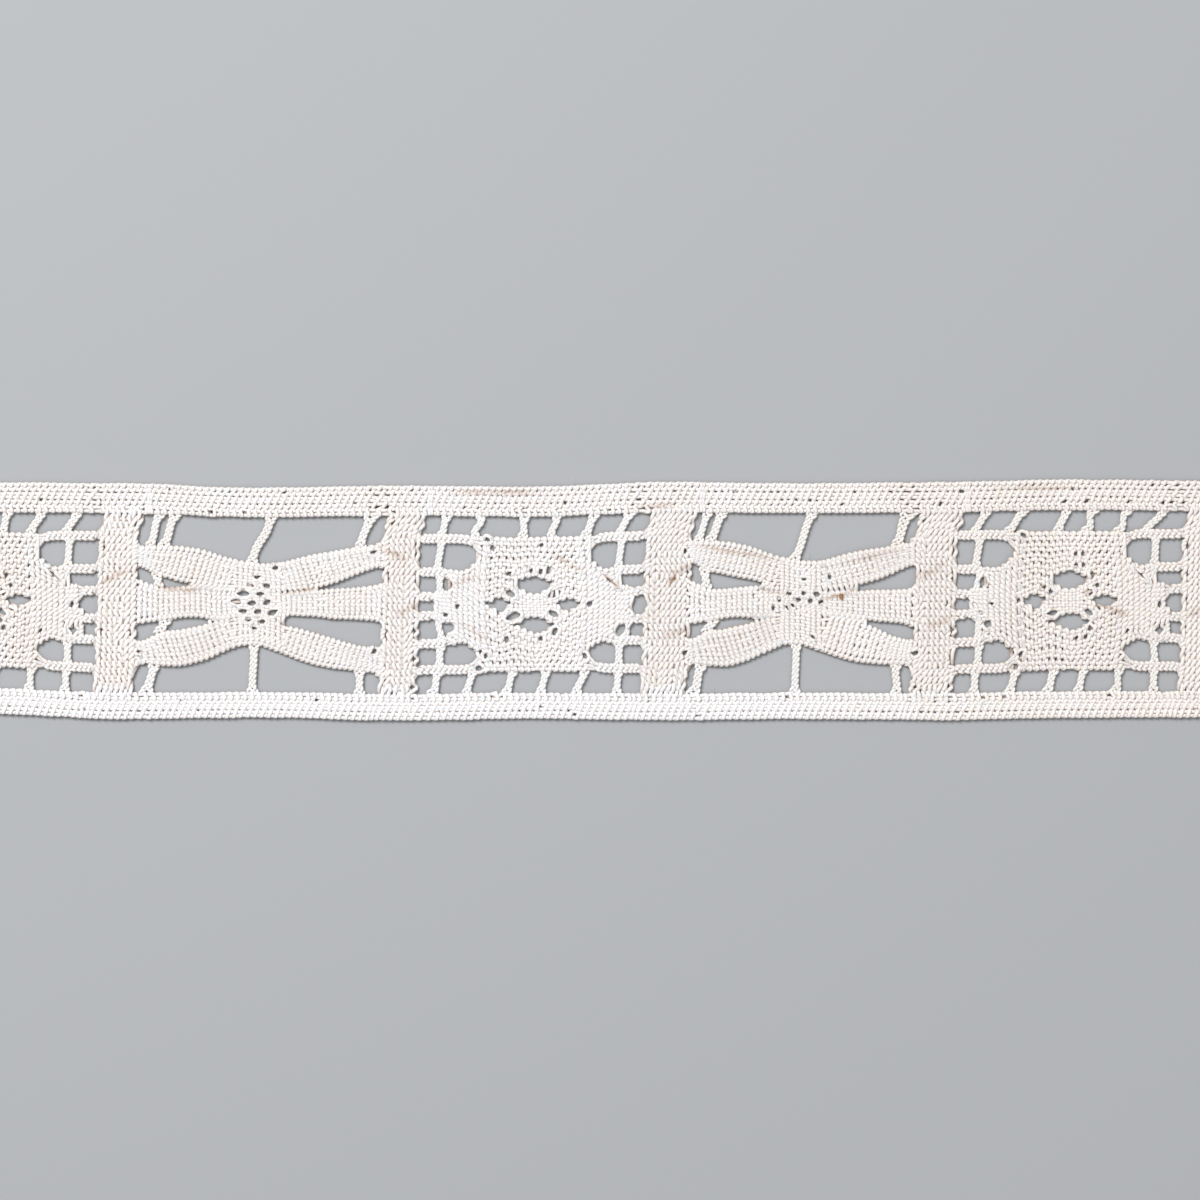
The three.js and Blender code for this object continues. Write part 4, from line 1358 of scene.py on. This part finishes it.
def cotton(name, crown, groove_shading, bump):
    """Cotton with crowns of this colour, this much of the painted groove shade, and this much relief.
    """
    made = bpy.data.materials.new(name)
    made.use_nodes = True
    nodes, links = made.node_tree.nodes, made.node_tree.links
    shader, group = nodes["Principled BSDF"], nodes.new("ShaderNodeGroup")
    group.node_tree = yarn_shader
    fill_in(group, {"Crown": crown, "Groove shade": GROOVE_SHADE, "Stain and seam shade": STAIN_AND_SEAM_SHADE, "Groove shading": groove_shading})
    relief = nodes.new("ShaderNodeBump")
    fill_in(relief, {"Strength": bump, "Distance": TWIST_RELIEF})
    fill_in(shader, SOFT_COTTON)
    links.new(group.outputs["Height"], relief.inputs["Height"])
    links.new(group.outputs["Colour"], shader.inputs["Base Color"])
    links.new(group.outputs["Roughness"], shader.inputs["Roughness"])
    links.new(relief.outputs["Normal"], shader.inputs["Normal"])
    return made


# A plait's threads stand free, so their cotton is painted a little lighter and gets much less of the
# painted groove shade.
cloth_cotton = cotton("cloth cotton", (0.878, 0.848, 0.848, 1), 1.0, 0.45)
plait_cotton = cotton("plait cotton", (0.885, 0.868, 0.865, 1), 0.4, 0.5)
for name, piece in pieces.items():
    piece.data.materials.append(plait_cotton if name in ("plaits", "fuzz") else cloth_cotton)
print("materials:", cloth_cotton.name, "and", plait_cotton.name)

# %% [markdown]
# ## Floor, light and camera
# The trim lies on a plain table. A small strong light from the upper left draws the threads'
# shadows, and a large weak one from the other side softens them. The camera looks straight
# down, so the table is the whole background.

# %% The table
FLOOR_SIZE = 3                   # in metres, far beyond what the camera sees
bpy.ops.object.select_all(action="DESELECT")
bpy.ops.mesh.primitive_plane_add(size=FLOOR_SIZE, location=(0, 0, 0))
floor = bpy.context.object
floor.name = "floor"
paint = bpy.data.materials.new("floor")
paint.use_nodes = True
fill_in(paint.node_tree.nodes["Principled BSDF"],
        {"Base Color": (0.37, 0.38, 0.395, 1), "Roughness": 0.9})
floor.data.materials.append(paint)
print("the table is", FLOOR_SIZE, "m wide")


# %% Light
def area_light(place, size, energy):
    """A square light that looks at the middle of the trim."""
    bpy.ops.object.light_add(type="AREA", location=place)
    light = bpy.context.object
    light.data.size = size
    light.data.energy = energy
    light.rotation_euler = (-light.location).to_track_quat("-Z", "Y").to_euler()


area_light(place=(-0.25, 0.35, 0.6), size=0.35, energy=5.5)
area_light(place=(0.35, -0.3, 0.7), size=0.6, energy=1.3)

bpy.context.scene.view_settings.view_transform = "Standard"
world = bpy.data.worlds.new("studio")
bpy.context.scene.world = world
world.use_nodes = True
fill_in(world.node_tree.nodes["Background"], {"Color": WHITE, "Strength": 0.38})
print("two area lights, and an even white light from all round")

# %% Camera
VIEW_WIDTH = 128.9               # how much of the trim the camera takes in
VIEW_X = 8.06                    # and how far to the right of its middle it looks
camera_data = bpy.data.cameras.new("camera")
camera = bpy.data.objects.new("camera", camera_data)
bpy.context.scene.collection.objects.link(camera)
camera_data.lens = 100           # a long lens, so the threads are seen from straight above
camera_data.sensor_width = 36
camera_data.clip_start = 0.01
distance = VIEW_WIDTH * camera_data.lens / camera_data.sensor_width
camera.location = (VIEW_X * MM, 0, (LEVEL + distance) * MM)
bpy.context.scene.camera = camera
print(f"the camera looks straight down from {distance:.0f} mm")

# %% [markdown]
# ## What the pieces are
# The trim has one body, so every piece rides on the root. All of them are cotton, and together they
# stand in the imported lace's place, which is hidden. The cloth's flat size is worked out last.

# %% Put every piece on the root, hide the imported lace, and finish
for piece in pieces.values():
    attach(piece, "root")
    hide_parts("lace")
flat = (WIDTH * MM, (RIGHT_END - LEFT_END) * MM)             # 0.77 of it is cloth, the rest gaps
